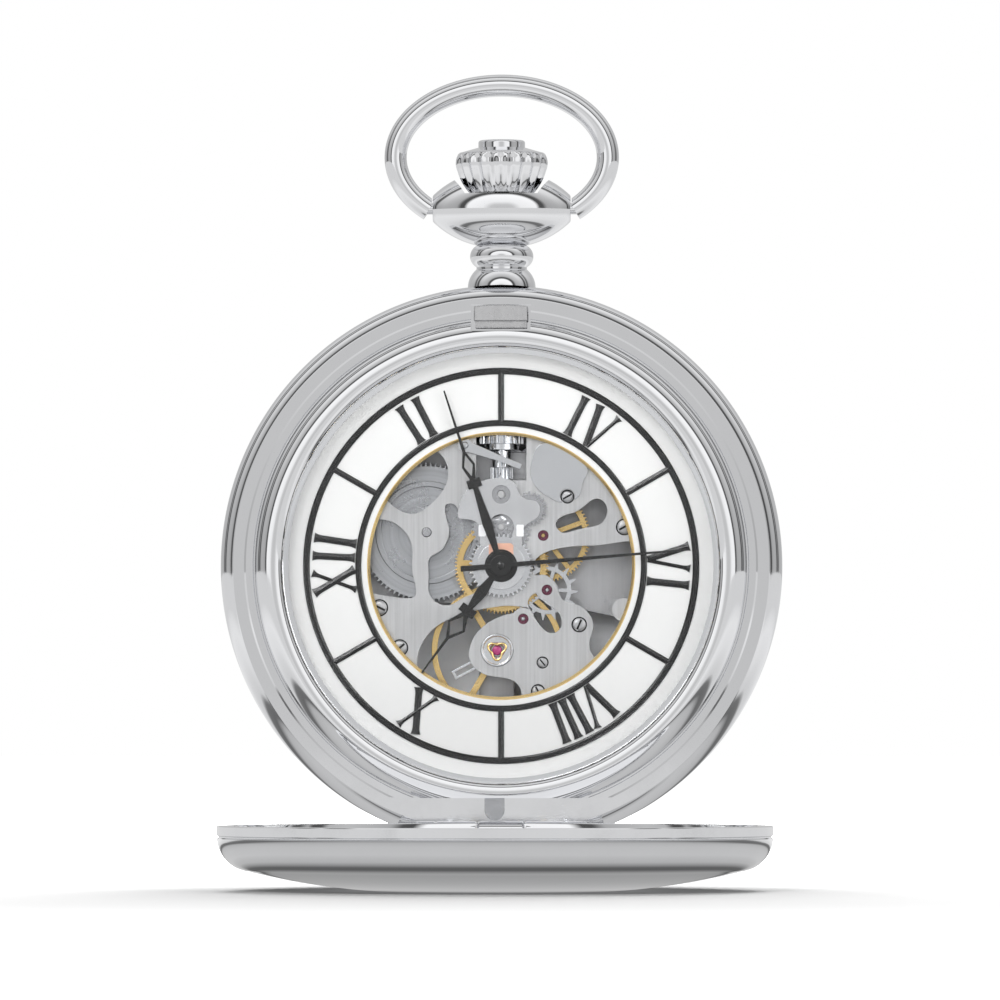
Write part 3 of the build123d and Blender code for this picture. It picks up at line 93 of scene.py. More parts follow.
def stem_frame() -> Matrix:
    """Frame of the stem: z up the stem, with its origin level with the dial's centre."""
    return Matrix.Translation(Vector((0, DIAL_CENTRE.y, DIAL_CENTRE.z)))


def head_frame() -> Matrix:
    """Frame of the pendant's head: z along the bow's pivot."""
    return Matrix.Translation(BOW_PIVOT) @ Matrix.Rotation(math.pi / 2, 4, "Y")


def hinge_frame() -> Matrix:
    """Frame of the lid's hinge: z along its pin."""
    return Matrix.Translation(HINGE_AT) @ Matrix.Rotation(math.pi / 2, 4, "Y")


def polar(radius: float, angle: float) -> Point:
    """Point at a radius and an angle in degrees."""
    return radius * math.cos(math.radians(angle)), radius * math.sin(math.radians(angle))


def mirrored(profile: Sequence[Point]) -> list[Point]:
    """The same outline run backwards, with its second measure turned to the other side."""
    return [(first, -second) for first, second in reversed(profile)]


def arc(start: Point, middle: Point, end: Point, steps: int = 12) -> list[Point]:
    """Points along the circle through three points.

    Args:
        start: First point.
        middle: Point that the arc passes.
        end: Last point.
        steps: Spans between the first point and the last.

    Returns:
        The points from start to end.
    """
    (ax, ay), (bx, by), (cx, cy) = start, middle, end
    area = 2 * (ax * (by - cy) + bx * (cy - ay) + cx * (ay - by))
    sa, sb, sc = ax * ax + ay * ay, bx * bx + by * by, cx * cx + cy * cy
    ux = (sa * (by - cy) + sb * (cy - ay) + sc * (ay - by)) / area
    uy = (sa * (cx - bx) + sb * (ax - cx) + sc * (bx - ax)) / area
    first, mid, last = (math.atan2(y - uy, x - ux) for x, y in (start, middle, end))
    turn = (last - first) % math.tau
    if (mid - first) % math.tau > turn:
        turn -= math.tau
    radius = math.hypot(ax - ux, ay - uy)
    angles = [first + turn * step / steps for step in range(steps + 1)]
    return [(ux + radius * math.cos(a), uy + radius * math.sin(a)) for a in angles]


def rounded(points: Sequence[Point], radius: float, steps: int = 4) -> list[Point]:
    """Open outline with its inner corners rounded.

    Args:
        points: Corners in order.
        radius: Rounding, shortened where a side is short.
        steps: Spans in each corner.

    Returns:
        The rounded outline.
    """
    made = [points[0]]
    for before, corner, after in zip(points, points[1:], points[2:]):
        here = Vector(corner)
        back, ahead = Vector(before) - here, Vector(after) - here
        reach = min(radius, back.length * 0.45, ahead.length * 0.45)
        start, end = here + back.normalized() * reach, here + ahead.normalized() * reach
        for step in range(steps + 1):
            t = step / steps
            spot = start * (1 - t) ** 2 + here * 2 * t * (1 - t) + end * t * t
            made.append((spot.x, spot.y))
    made.append(points[-1])
    return made


# ---------------------------------------------------------------- mesh tools
def add_mesh(name: str, bm: bmesh.types.BMesh, place: Matrix, sharp: float = 32.0) -> bpy.types.Object:
    """Turn a bmesh in millimetres into a finished object at the origin.

    Args:
        name: Name of the piece.
        bm: Shape in its own frame; it is freed.
        place: Frame that the shape stands in, in metres.
        sharp: Angle in degrees past which an edge shades sharp.

    Returns:
        The object.
    """
    bmesh.ops.remove_doubles(bm, verts=bm.verts, dist=1e-4)
    bmesh.ops.dissolve_degenerate(bm, edges=bm.edges, dist=1e-5)
    bmesh.ops.recalc_face_normals(bm, faces=bm.faces)
    mesh = bpy.data.meshes.new(name)
    bm.to_mesh(mesh)
    bm.free()
    mesh.transform(place @ Matrix.Scale(MM, 4))
    mesh.polygons.foreach_set("use_smooth", [True] * len(mesh.polygons))
    mesh.set_sharp_from_angle(angle=math.radians(sharp))
    piece = bpy.data.objects.new(name, mesh)
    bpy.context.scene.collection.objects.link(piece)
    return piece


def skin(bm: bmesh.types.BMesh, rings: Sequence[Sequence[bmesh.types.BMVert]], closed: bool) -> None:
    """Lay faces between rings of equal size.

    Args:
        bm: Mesh that takes them.
        rings: Rings of vertices in order.
        closed: True where the last ring meets the first; otherwise both ends are capped.
    """
    following = [*rings[1:], rings[0]] if closed else rings[1:]
    for ring, beyond in zip(rings, following):
        for step, vert in enumerate(ring):
            after = (step + 1) % len(ring)
            bm.faces.new((vert, ring[after], beyond[after], beyond[step]))
    if not closed:
        bm.faces.new(rings[0])
        bm.faces.new(rings[-1])


def lathe(name: str, profile: Sequence[Point], place: Matrix, segments: int = 256, flip: bool = False,
          sharp: float = 28.0) -> bpy.types.Object:
    """Closed solid of revolution about its frame's z axis.

    Args:
        name: Name of the piece.
        profile: Closed outline of radius and height; a point on the axis has radius 0.
        place: Frame whose z is the axis.
        segments: Steps round the axis.
        flip: True where the heights are depths, which run against z.
        sharp: Angle in degrees past which an edge shades sharp.

    Returns:
        The object.
    """
    bm = bmesh.new()
    rings = []
    for radius, height in profile:
        level = -height if flip else height
        if radius < 1e-6:
            rings.append([bm.verts.new((0, 0, level))])
        else:
            spots = (polar(radius, 360 * step / segments) for step in range(segments))
            rings.append([bm.verts.new((x, y, level)) for x, y in spots])
    for ring, following in zip(rings, rings[1:] + rings[:1]):
        for step in range(segments):
            corners = [ring[step % len(ring)], ring[(step + 1) % len(ring)],
                       following[(step + 1) % len(following)], following[step % len(following)]]
            corners = list(dict.fromkeys(corners))
            if len(corners) > 2:
                bm.faces.new(corners)
    return add_mesh(name, bm, place, sharp)


def cut(piece: bpy.types.Object, cutters: Iterable[bpy.types.Object],
        sharp: float = 28.0) -> bpy.types.Object:
    """Cut shapes out of a piece and drop the cutters.

    Args:
        piece: Piece to cut.
        cutters: Closed shapes to take away.
        sharp: Angle in degrees past which an edge shades sharp.

    Returns:
        The same piece with a new mesh.
    """
    for cutter in cutters:
        modifier = piece.modifiers.new("cut", "BOOLEAN")
        modifier.operation = "DIFFERENCE"
        modifier.solver = "EXACT"
        modifier.object = cutter
        bake(piece)
        bpy.data.objects.remove(cutter)
    piece.data.set_sharp_from_angle(angle=math.radians(sharp))
    return piece


def bake(piece: bpy.types.Object) -> None:
    """Replace a piece's mesh by the result of its modifiers.

    Args:
        piece: Piece that keeps the result.
    """
    depsgraph = bpy.context.evaluated_depsgraph_get()
    made = bpy.data.meshes.new_from_object(piece.evaluated_get(depsgraph), depsgraph=depsgraph)
    piece.modifiers.clear()
    piece.data = made


def block(low: Spot, high: Spot, place: Matrix) -> bpy.types.Object:
    """Flat-sided block, in millimetres in its frame.

    Args:
        low: Lowest corner.
        high: Highest corner.
        place: Frame that it stands in.

    Returns:
        The object.
    """
    bm = bmesh.new()
    bmesh.ops.create_cube(bm, size=1)
    for vert in bm.verts:
        for axis in range(3):
            vert.co[axis] = low[axis] if vert.co[axis] < 0 else high[axis]
    return add_mesh("block", bm, place)


def rod(radius: float, low: float, high: float, place: Matrix, segments: int = 96) -> bpy.types.Object:
    """Round bar along its frame's z axis."""
    return lathe("rod", [(0, low), (radius, low), (radius, high), (0, high)], place, segments)


def prism(name: str, spots: Sequence[Point], low: float, high: float, place: Matrix) -> bpy.types.Object:
    """Straight-sided solid from a closed outline.

    Args:
        name: Name of the piece.
        spots: Outline in the frame's plane.
        low: Height of one end.
        high: Height of the other end.
        place: Frame that it stands in.

    Returns:
        The object.
    """
    bm = bmesh.new()
    ends = [[bm.verts.new((x, y, level)) for x, y in spots] for level in (low, high)]
    for end in ends:
        bm.faces.new(end)
    for step in range(len(spots)):
        after = (step + 1) % len(spots)
        bm.faces.new((ends[0][step], ends[0][after], ends[1][after], ends[1][step]))
    return add_mesh(name, bm, place)


def joined(name: str, parts: Sequence[bpy.types.Object]) -> bpy.types.Object:
    """Join finished meshes into one piece.

    Args:
        name: Name of the piece.
        parts: Objects at the origin; they are dropped.

    Returns:
        One object that holds them all.
    """
    bm = bmesh.new()
    for part in parts:
        bm.from_mesh(part.data)
    mesh = bpy.data.meshes.new(name)
    bm.to_mesh(mesh)
    bm.free()
    for part in parts:
        bpy.data.objects.remove(part)
    piece = bpy.data.objects.new(name, mesh)
    bpy.context.scene.collection.objects.link(piece)
    return piece


def softened(node: str, width: float, segments: int = 2, angle: float = 38.0) -> bpy.types.Object:
    """Copy of a CAD node with merged faces and rounded edges.

    Args:
        node: CAD node to copy.
        width: Width of the edge rounding, in millimetres.
        segments: Steps across the rounding.
        angle: Edges sharper than this, in degrees, are rounded.

    Returns:
        The new piece, which replaces the node and rides its body.
    """
    source = frame["nodes"][node]
    bm = bmesh.new()
    bm.from_mesh(source.data)
    bmesh.ops.remove_doubles(bm, verts=bm.verts, dist=1e-6)
    bmesh.ops.dissolve_limit(bm, angle_limit=math.radians(1.0), verts=bm.verts, edges=bm.edges)
    mesh = bpy.data.meshes.new(node + "_piece")
    bm.to_mesh(mesh)
    bm.free()
    mesh.polygons.foreach_set("use_smooth", [True] * len(mesh.polygons))
    mesh.set_sharp_from_angle(angle=math.radians(angle))
    piece = bpy.data.objects.new(node + "_piece", mesh)
    bpy.context.scene.collection.objects.link(piece)
    modifier = piece.modifiers.new("edges", "BEVEL")
    modifier.width = width * MM
    modifier.segments = segments
    modifier.limit_method = "ANGLE"
    modifier.angle_limit = math.radians(angle)
    modifier.use_clamp_overlap = True
    modifier.harden_normals = True
    bake(piece)
    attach(piece, source["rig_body"])
    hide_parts(node)
    return piece


# ---------------------------------------------------------------- finishes
def link(tree: bpy.types.NodeTree, source: bpy.types.NodeSocket, target: bpy.types.NodeSocket) -> None:
    """Join two sockets of a tree."""
    tree.links.new(source, target)


def maths(tree: bpy.types.NodeTree, operation: str, first: object,
          second: object = 0.0) -> bpy.types.NodeSocket:
    """Result of a Math node on two sockets or numbers.

    Args:
        tree: Tree that the node goes in.
        operation: Name of the operation.
        first: Socket or number.
        second: Socket or number.

    Returns:
        The result's socket.
    """
    node = tree.nodes.new("ShaderNodeMath")
    node.operation = operation
    for index, value in enumerate((first, second)):
        if isinstance(value, bpy.types.NodeSocket):
            link(tree, value, node.inputs[index])
        else:
            node.inputs[index].default_value = value
    return node.outputs[0]


def noise(tree: bpy.types.NodeTree, vector: bpy.types.NodeSocket, scale: object,
          detail: float) -> bpy.types.NodeSocket:
    """Grey noise on a vector.

    Args:
        tree: Tree that the node goes in.
        vector: Place that is read.
        scale: Socket or number for the noise's scale.
        detail: Octaves.

    Returns:
        The noise's value, about 0.5.
    """
    node = tree.nodes.new("ShaderNodeTexNoise")
    node.inputs["Detail"].default_value = detail
    link(tree, vector, node.inputs["Vector"])
    if isinstance(scale, bpy.types.NodeSocket):
        link(tree, scale, node.inputs["Scale"])
    else:
        node.inputs["Scale"].default_value = scale
    return node.outputs[0]


def grey_ramp(tree: bpy.types.NodeTree, value: bpy.types.NodeSocket, stops: Stops) -> bpy.types.NodeSocket:
    """Grey that a value gives on a ramp.

    Args:
        tree: Tree that the node goes in.
        value: Socket from 0 to 1.
        stops: Place and grey of each stop, in order.

    Returns:
        The grey's socket.
    """
    node = tree.nodes.new("ShaderNodeValToRGB")
    elements = node.color_ramp.elements
    elements.remove(elements[0])
    for index, (spot, grey) in enumerate(stops):
        stop = elements[0] if index == 0 else elements.new(spot)
        stop.position = spot
        stop.color = (grey, grey, grey, 1)
    link(tree, value, node.inputs["Fac"])
    return node.outputs["Color"]


@dataclass(frozen=True)
class EffectGroup:
    """Shader node group with a place, a few numbers and one grey output."""

    name: str
    numbers: tuple[tuple[str, float], ...]
    build: Callable[[bpy.types.NodeTree, bpy.types.Node], bpy.types.NodeSocket]

    def tree(self) -> bpy.types.NodeTree:
        """The group's tree, built on first use.

        Returns:
            The tree.
        """
        if self.name in bpy.data.node_groups:
            return bpy.data.node_groups[self.name]
        tree = bpy.data.node_groups.new(self.name, "ShaderNodeTree")
        tree.interface.new_socket("Place", in_out="INPUT", socket_type="NodeSocketVector")
        for title, value in self.numbers:
            socket = tree.interface.new_socket(title, in_out="INPUT", socket_type="NodeSocketFloat")
            socket.default_value = value
        tree.interface.new_socket("Grey", in_out="OUTPUT", socket_type="NodeSocketFloat")
        inside = tree.nodes.new("NodeGroupInput")
        outside = tree.nodes.new("NodeGroupOutput")
        link(tree, self.build(tree, inside), outside.inputs["Grey"])
        return tree

    def place(self, tree: bpy.types.NodeTree, where: bpy.types.NodeSocket,
              values: Sequence[float]) -> bpy.types.NodeSocket:
        """Place the group in a material.

        Args:
            tree: The material's tree.
            where: Place that the effect reads.
            values: One number for each of the group's inputs.

        Returns:
            The grey output.
        """
        node = tree.nodes.new("ShaderNodeGroup")
        node.node_tree = self.tree()
        link(tree, where, node.inputs["Place"])
        for (title, _), value in zip(self.numbers, values):
            node.inputs[title].default_value = value
        return node.outputs["Grey"]


def build_straight_grain(tree: bpy.types.NodeTree, inside: bpy.types.Node) -> bpy.types.NodeSocket:
    """Fine upright brush lines.

    Args:
        tree: The group's tree.
        inside: The group's input node.

    Returns:
        The grey output.
    """
    spread = tree.nodes.new("ShaderNodeVectorMath")
    spread.operation = "MULTIPLY"
    link(tree, inside.outputs["Place"], spread.inputs[0])
    spread.inputs[1].default_value = (1.0, 1.0, 0.02)
    fine = noise(tree, spread.outputs[0], inside.outputs["Lines"], 3.0)
    broad = noise(tree, spread.outputs[0], maths(tree, "MULTIPLY", inside.outputs["Lines"], 0.2), 1.0)
    return maths(tree, "ADD", maths(tree, "MULTIPLY", fine, 0.7), maths(tree, "MULTIPLY", broad, 0.3))


def build_turned_grain(tree: bpy.types.NodeTree, inside: bpy.types.Node) -> bpy.types.NodeSocket:
    """Fine rings about the place's origin, in the dial's plane.

    Args:
        tree: The group's tree.
        inside: The group's input node.

    Returns:
        The grey output.
    """
    parts = tree.nodes.new("ShaderNodeSeparateXYZ")
    link(tree, inside.outputs["Place"], parts.inputs[0])
    flat = tree.nodes.new("ShaderNodeCombineXYZ")
    link(tree, parts.outputs["X"], flat.inputs["X"])
    link(tree, parts.outputs["Z"], flat.inputs["Y"])
    reach = tree.nodes.new("ShaderNodeVectorMath")
    reach.operation = "LENGTH"
    link(tree, flat.outputs[0], reach.inputs[0])
    line = tree.nodes.new("ShaderNodeCombineXYZ")
    link(tree, reach.outputs["Value"], line.inputs["X"])
    return noise(tree, line.outputs[0], inside.outputs["Lines"], 3.0)


def build_handling(tree: bpy.types.NodeTree, inside: bpy.types.Node) -> bpy.types.NodeSocket:
    """Soft cloudy smudges with a few finer specks in them.

    Args:
        tree: The group's tree.
        inside: The group's input node.

    Returns:
        The grey output.
    """
    clouds = noise(tree, inside.outputs["Place"], inside.outputs["Size"], 4.0)
    specks = noise(tree, inside.outputs["Place"], maths(tree, "MULTIPLY", inside.outputs["Size"], 9.0), 2.0)
    mixed = maths(tree, "ADD", maths(tree, "MULTIPLY", clouds, 0.75), maths(tree, "MULTIPLY", specks, 0.25))
    ramp = tree.nodes.new("ShaderNodeMapRange")
    ramp.inputs["From Min"].default_value = 0.38
    ramp.inputs["From Max"].default_value = 0.66
    link(tree, mixed, ramp.inputs["Value"])
    return ramp.outputs["Result"]


STRAIGHT_GRAIN = EffectGroup("straight_grain", (("Lines", 9000.0),), build_straight_grain)
TURNED_GRAIN = EffectGroup("turned_grain", (("Lines", 9000.0),), build_turned_grain)
HANDLING = EffectGroup("handling_marks", (("Size", 300.0),), build_handling)


class Grain(Enum):
    """How a surface was worked."""

    NONE = "none"
    STRAIGHT = "straight"
    TURNED = "turned"


COAT_ROUGHNESS = 0.03
SMUDGE_SHADE = 0.04
DARK_SHARE = 0.55


@dataclass(frozen=True)
class Finish:
    """One surface finish, with the record's slot that it belongs to.

    Lines and marks are noise scales per metre, and depth is the grain's depth in metres.
    """

    name: str
    slot: str
    colour: tuple[float, float, float]
    metallic: float = 1.0
    roughness: float = 0.1
    rough_change: float = 0.04
    grain: Grain = Grain.NONE
    lines: float = 9000.0
    depth: float = 0.000002
    shade: float = 0.0
    marks: float = 300.0
    coat: float = 0.0
    centre: tuple[float, float, float] = (0.0, 0.0, 0.0)
    specular: float = 0.5

    def material(self) -> bpy.types.Material:
        """The finish's material, built on first use.

        Returns:
            The material.
        """
        if self.name in bpy.data.materials:
            return bpy.data.materials[self.name]
        made = bpy.data.materials.new(self.name)
        made.use_nodes = True
        tree = made.node_tree
        shader = tree.nodes["Principled BSDF"]
        shader.inputs["Metallic"].default_value = self.metallic
        shader.inputs["Coat Weight"].default_value = self.coat
        shader.inputs["Coat Roughness"].default_value = COAT_ROUGHNESS
        shader.inputs["Specular IOR Level"].default_value = self.specular
        where = tree.nodes.new("ShaderNodeTexCoord").outputs["Object"]
        marks = HANDLING.place(tree, where, (self.marks,))
        rough = maths(tree, "MULTIPLY", marks, self.rough_change)
        value = maths(tree, "MULTIPLY", marks, SMUDGE_SHADE)
        if self.grain is not Grain.NONE:
            lines = self.grain_lines(tree, where)
            bump = tree.nodes.new("ShaderNodeBump")
            bump.inputs["Strength"].default_value = 1.0
            bump.inputs["Distance"].default_value = self.depth
            link(tree, lines, bump.inputs["Height"])
            link(tree, bump.outputs["Normal"], shader.inputs["Normal"])
            value = maths(tree, "ADD", value, maths(tree, "MULTIPLY", lines, self.shade))
        tint = tree.nodes.new("ShaderNodeMix")
        tint.data_type = "RGBA"
        dark = tuple(part * DARK_SHARE for part in self.colour)
        tint.inputs["A"].default_value = (*self.colour, 1)
        tint.inputs["B"].default_value = (*dark, 1)
        link(tree, value, tint.inputs["Factor"])
        link(tree, tint.outputs["Result"], shader.inputs["Base Color"])
        link(tree, maths(tree, "ADD", rough, self.roughness), shader.inputs["Roughness"])
        return made

    def grain_lines(self, tree: bpy.types.NodeTree, where: bpy.types.NodeSocket) -> bpy.types.NodeSocket:
        """Grey lines of the finish's grain.

        Args:
            tree: The material's tree.
            where: Object coordinates.

        Returns:
            The grey output.
        """
        if self.grain is Grain.STRAIGHT:
            return STRAIGHT_GRAIN.place(tree, where, (self.lines,))
        shift = tree.nodes.new("ShaderNodeMapping")
        shift.inputs["Location"].default_value = tuple(-part for part in self.centre)
        link(tree, where, shift.inputs["Vector"])
        return TURNED_GRAIN.place(tree, shift.outputs["Vector"], (self.lines,))


def at_dial(x: float, z: float) -> tuple[float, float, float]:
    """Place in the frame, in metres, of a point of the movement given from the dial's centre."""
    return x * MM, DIAL_CENTRE.y, DIAL_CENTRE.z + z * MM


AT_CENTRE = at_dial(0, 0)
AT_BARREL = at_dial(-6.38, 2.88)
MIRROR_STEEL = Finish("mirror_steel", "case_steel", (0.83, 0.835, 0.85), roughness=0.035, rough_change=0.035)
SATIN_STEEL = Finish("satin_steel", "case_steel", (0.88, 0.885, 0.90), roughness=0.5, rough_change=0.05,
                     grain=Grain.TURNED, lines=5000, depth=0.000004)
RAW_STEEL = Finish("machined_steel", "raw_steel", (0.62, 0.63, 0.65), roughness=0.2, rough_change=0.1,
                   grain=Grain.TURNED, lines=7000, centre=AT_CENTRE)
WORN_STEEL = Finish("worn_steel", "raw_steel", (0.74, 0.74, 0.75), roughness=0.22, rough_change=0.3,
                    grain=Grain.STRAIGHT, lines=2500, depth=0.00001, shade=0.6, marks=2500)
BRIGHT_STEEL = Finish("bright_steel", "raw_steel", (0.72, 0.73, 0.75), roughness=0.12, rough_change=0.06)
NICKEL = Finish("grained_nickel", "nickel_plate", (0.70, 0.70, 0.705), roughness=0.3, rough_change=0.1,
                grain=Grain.STRAIGHT, lines=6000, depth=0.000012, shade=0.9)
BRIGHT_NICKEL = Finish("bright_nickel", "nickel_plate", (0.74, 0.745, 0.76), roughness=0.18,
                       rough_change=0.08, grain=Grain.STRAIGHT, lines=9000, shade=0.2)
# Turned rings are the barrel's real finish; its tone, darker than the other steel, is painted shade for a
# deeper part.
TURNED_SHADED_STEEL = Finish("turned_steel_painted_shade", "raw_steel", (0.55, 0.56, 0.58), roughness=0.25, rough_change=0.08,
                      grain=Grain.TURNED, lines=3500, depth=0.000006, shade=1.0, centre=AT_BARREL)
SCREW_STEEL = Finish("screw_steel", "screw_steel", (0.36, 0.365, 0.38), roughness=0.1, rough_change=0.08)
# Painted shade: darker copy of the nickel for the bridges and ring that lie deeper in the movement.
SHADED_NICKEL = Finish("nickel_painted_shade", "nickel_plate", (0.52, 0.52, 0.53), roughness=0.4, rough_change=0.1,
                     grain=Grain.STRAIGHT, lines=6000, depth=0.00001, shade=0.4)
WHEEL_STEEL = Finish("wheel_steel", "raw_steel", (0.50, 0.505, 0.52), roughness=0.2, rough_change=0.1,
                     grain=Grain.TURNED, lines=7000, depth=0.000006, shade=0.4, centre=AT_CENTRE)
# Painted shade: darker copy of the steel for the barrel's wheels and spring, which lie deeper in the movement.
SHADED_STEEL = Finish("steel_painted_shade", "raw_steel", (0.38, 0.385, 0.40), roughness=0.25, rough_change=0.1,
                   grain=Grain.TURNED, lines=7000, depth=0.000006, shade=0.4, centre=AT_BARREL)
BRASS = Finish("turned_brass", "brass", (0.83, 0.60, 0.27), roughness=0.2, rough_change=0.1,
               grain=Grain.TURNED, lines=6000, shade=0.15, centre=AT_CENTRE)
GOLD = Finish("gold", "gold_ring", (0.95, 0.71, 0.34), roughness=0.16, rough_change=0.06)
DARK_RUBY = Finish("dark_ruby", "ruby", (0.10, 0.01, 0.035), metallic=0.0, roughness=0.05, coat=1.0)
RUBY = Finish("ruby", "ruby", (0.36, 0.015, 0.10), metallic=0.0, roughness=0.05, coat=1.0)
DIAL_WHITE = Finish("dial_white", "white_dial", (0.84, 0.84, 0.83), metallic=0.0, roughness=0.32,
                    grain=Grain.TURNED, lines=3000, depth=0.0000008, coat=0.2, centre=AT_CENTRE, marks=150)
# Black lacquer of the numerals, marks and hands; the screws' black rings and slot floors use it too, as
# painted shade.
BLACK_LACQUER_AND_SHADE = Finish("black_lacquer", "black_lacquer", (0.002, 0.002, 0.002), metallic=0.0, roughness=0.35,
               specular=0.08)
POLISHED_TAB = Finish("polished_tab", "nickel_plate", (0.97, 0.97, 0.98), roughness=0.6, rough_change=0.02)
COPPER = Finish("copper", "copper", (0.58, 0.33, 0.23), roughness=0.25, grain=Grain.TURNED, centre=AT_CENTRE)
RUBBER = Finish("seal_rubber", "seal_rubber", (0.03, 0.03, 0.03), metallic=0.0, roughness=0.7,
                rough_change=0.1)
GLASS_IOR = 1.12
GLASS_SMUDGE = 0.004


def crystal_glass() -> bpy.types.Material:
    """Clear glass that lets the light through to the dial, with faint cleaning marks.

    Returns:
        The material.
    """
    made = bpy.data.materials.new("crystal_glass")
    made.use_nodes = True
    tree = made.node_tree
    shader = tree.nodes["Principled BSDF"]
    shader.inputs["Base Color"].default_value = (0.99, 0.995, 1.0, 1)
    shader.inputs["Transmission Weight"].default_value = 1.0
    shader.inputs["IOR"].default_value = GLASS_IOR
    where = tree.nodes.new("ShaderNodeTexCoord").outputs["Object"]
    marks = HANDLING.place(tree, where, (120.0,))
    link(tree, maths(tree, "MULTIPLY", marks, GLASS_SMUDGE), shader.inputs["Roughness"])
    clear = tree.nodes.new("ShaderNodeBsdfTransparent")
    path = tree.nodes.new("ShaderNodeLightPath")
    mix = tree.nodes.new("ShaderNodeMixShader")
    passed = maths(tree, "MAXIMUM", path.outputs["Is Shadow Ray"], path.outputs["Is Diffuse Ray"])
    link(tree, passed, mix.inputs[0])
    link(tree, shader.outputs[0], mix.inputs[1])
    link(tree, clear.outputs[0], mix.inputs[2])
    link(tree, mix.outputs[0], tree.nodes["Material Output"].inputs["Surface"])
    return made


def dress(piece: bpy.types.Object, finish: Finish, body: str, nodes: Sequence[str] = ()) -> bpy.types.Object:
    """Give a piece its finish, its body and the CAD nodes that it stands for.

    Args:
        piece: Finished mesh.
        finish: Surface finish.
        body: Body that it rides on.
        nodes: CAD nodes that it replaces.

    Returns:
        The same piece.
    """
    piece.data.materials.clear()
    piece.data.materials.append(finish.material())
    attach(piece, body)
    if nodes:
        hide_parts(*nodes)
    LOG.info("%s rides on %s", piece.name, body)
    return piece


def soft_node(node: str, finish: Finish, width: float = 0.04) -> bpy.types.Object:
    """Rounded copy of a CAD node with a finish."""
    piece = softened(node, width)
    return dress(piece, finish, frame["nodes"][node]["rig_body"])


# ---------------------------------------------------------------- geometry nodes
class NodeForge:
    """Builder of one Geometry Nodes tree and the mesh that it makes."""

    def __init__(self, name: str, numbers: Sequence[tuple[str, str, object]]) -> None:
        """Start a tree.

        Args:
            name: Name of the tree.
            numbers: Title, socket type and value of each input.
        """
        self.tree = bpy.data.node_groups.new(name, "GeometryNodeTree")
        self.values: dict[str, object] = {}
        self.tree.interface.new_socket("Geometry", in_out="INPUT", socket_type="NodeSocketGeometry")
        for title, kind, value in numbers:
            socket = self.tree.interface.new_socket(title, in_out="INPUT", socket_type=kind)
            self.values[socket.identifier] = value
        self.tree.interface.new_socket("Geometry", in_out="OUTPUT", socket_type="NodeSocketGeometry")
        self.inside = self.tree.nodes.new("NodeGroupInput")
        self.outside = self.tree.nodes.new("NodeGroupOutput")

    def add(self, kind: str, **settings: object) -> bpy.types.Node:
        """New node with its settings.

        Args:
            kind: Type of the node.
            settings: Properties to set on it.

        Returns:
            The node.
        """
        node = self.tree.nodes.new(kind)
        for title, value in settings.items():
            setattr(node, title, value)
        return node

    def join(self, source: bpy.types.NodeSocket, target: bpy.types.NodeSocket) -> None:
        """Link two sockets."""
        self.tree.links.new(source, target)

    def make(self, name: str, geometry: bpy.types.NodeSocket, finish: Finish,
             base: bpy.types.Mesh | None = None) -> bpy.types.Object:
        """Run the tree and keep its result as a plain mesh.

        Args:
            name: Name of the piece.
            geometry: Socket that carries the shape.
            finish: Finish that Set Material gives.
            base: Mesh that the tree reads, or None.

        Returns:
            The piece, with no modifier.
        """
        real = self.add("GeometryNodeRealizeInstances")
        coat = self.add("GeometryNodeSetMaterial")
        coat.inputs["Material"].default_value = finish.material()
        self.join(geometry, real.inputs["Geometry"])
        self.join(real.outputs["Geometry"], coat.inputs["Geometry"])
        self.join(coat.outputs["Geometry"], self.outside.inputs["Geometry"])
        piece = bpy.data.objects.new(name, base or bpy.data.meshes.new(name))
        bpy.context.scene.collection.objects.link(piece)
        modifier = piece.modifiers.new("forge", "NODES")
        modifier.node_group = self.tree
        for identifier, value in self.values.items():
            modifier[identifier] = value
        bake(piece)
        piece.data.name = name
        return piece


def copies_in_ring(name: str, pattern: bpy.types.Object, count: int, first: float, finish: Finish,
                   place: Matrix) -> bpy.types.Object:
    """Copies of a pattern turned evenly about a frame's z axis.

    Args:
        name: Name of the piece.
        pattern: Mesh in the frame's millimetres; it is dropped.
        count: How many copies.
        first: Angle of the first copy, in degrees.
        finish: Their finish.
        place: Frame that they stand in.

    Returns:
        The piece.
    """
    forge = NodeForge(name + "_tree", (
        ("Pattern", "NodeSocketObject", pattern), ("Count", "NodeSocketInt", count),
        ("First Turn", "NodeSocketFloat", math.radians(first))))
    points = forge.add("GeometryNodePoints")
    forge.join(forge.inside.outputs["Count"], points.inputs["Count"])
    index = forge.add("GeometryNodeInputIndex")
    step = forge.add("ShaderNodeMath", operation="DIVIDE")
    step.inputs[0].default_value = math.tau
    forge.join(forge.inside.outputs["Count"], step.inputs[1])
    turn = forge.add("ShaderNodeMath", operation="MULTIPLY_ADD")
    forge.join(index.outputs[0], turn.inputs[0])
    forge.join(step.outputs[0], turn.inputs[1])
    forge.join(forge.inside.outputs["First Turn"], turn.inputs[2])
    spin = forge.add("ShaderNodeCombineXYZ")
    forge.join(turn.outputs[0], spin.inputs["Z"])
    source = forge.add("GeometryNodeObjectInfo")
    forge.join(forge.inside.outputs["Pattern"], source.inputs["Object"])
    spread = forge.add("GeometryNodeInstanceOnPoints")
    forge.join(points.outputs["Points"], spread.inputs["Points"])
    forge.join(source.outputs["Geometry"], spread.inputs["Instance"])
    forge.join(spin.outputs[0], spread.inputs["Rotation"])
    piece = forge.make(name, spread.outputs["Instances"], finish)
    bpy.data.objects.remove(pattern)
    piece.data.transform(place @ Matrix.Scale(MM, 4))
    return piece


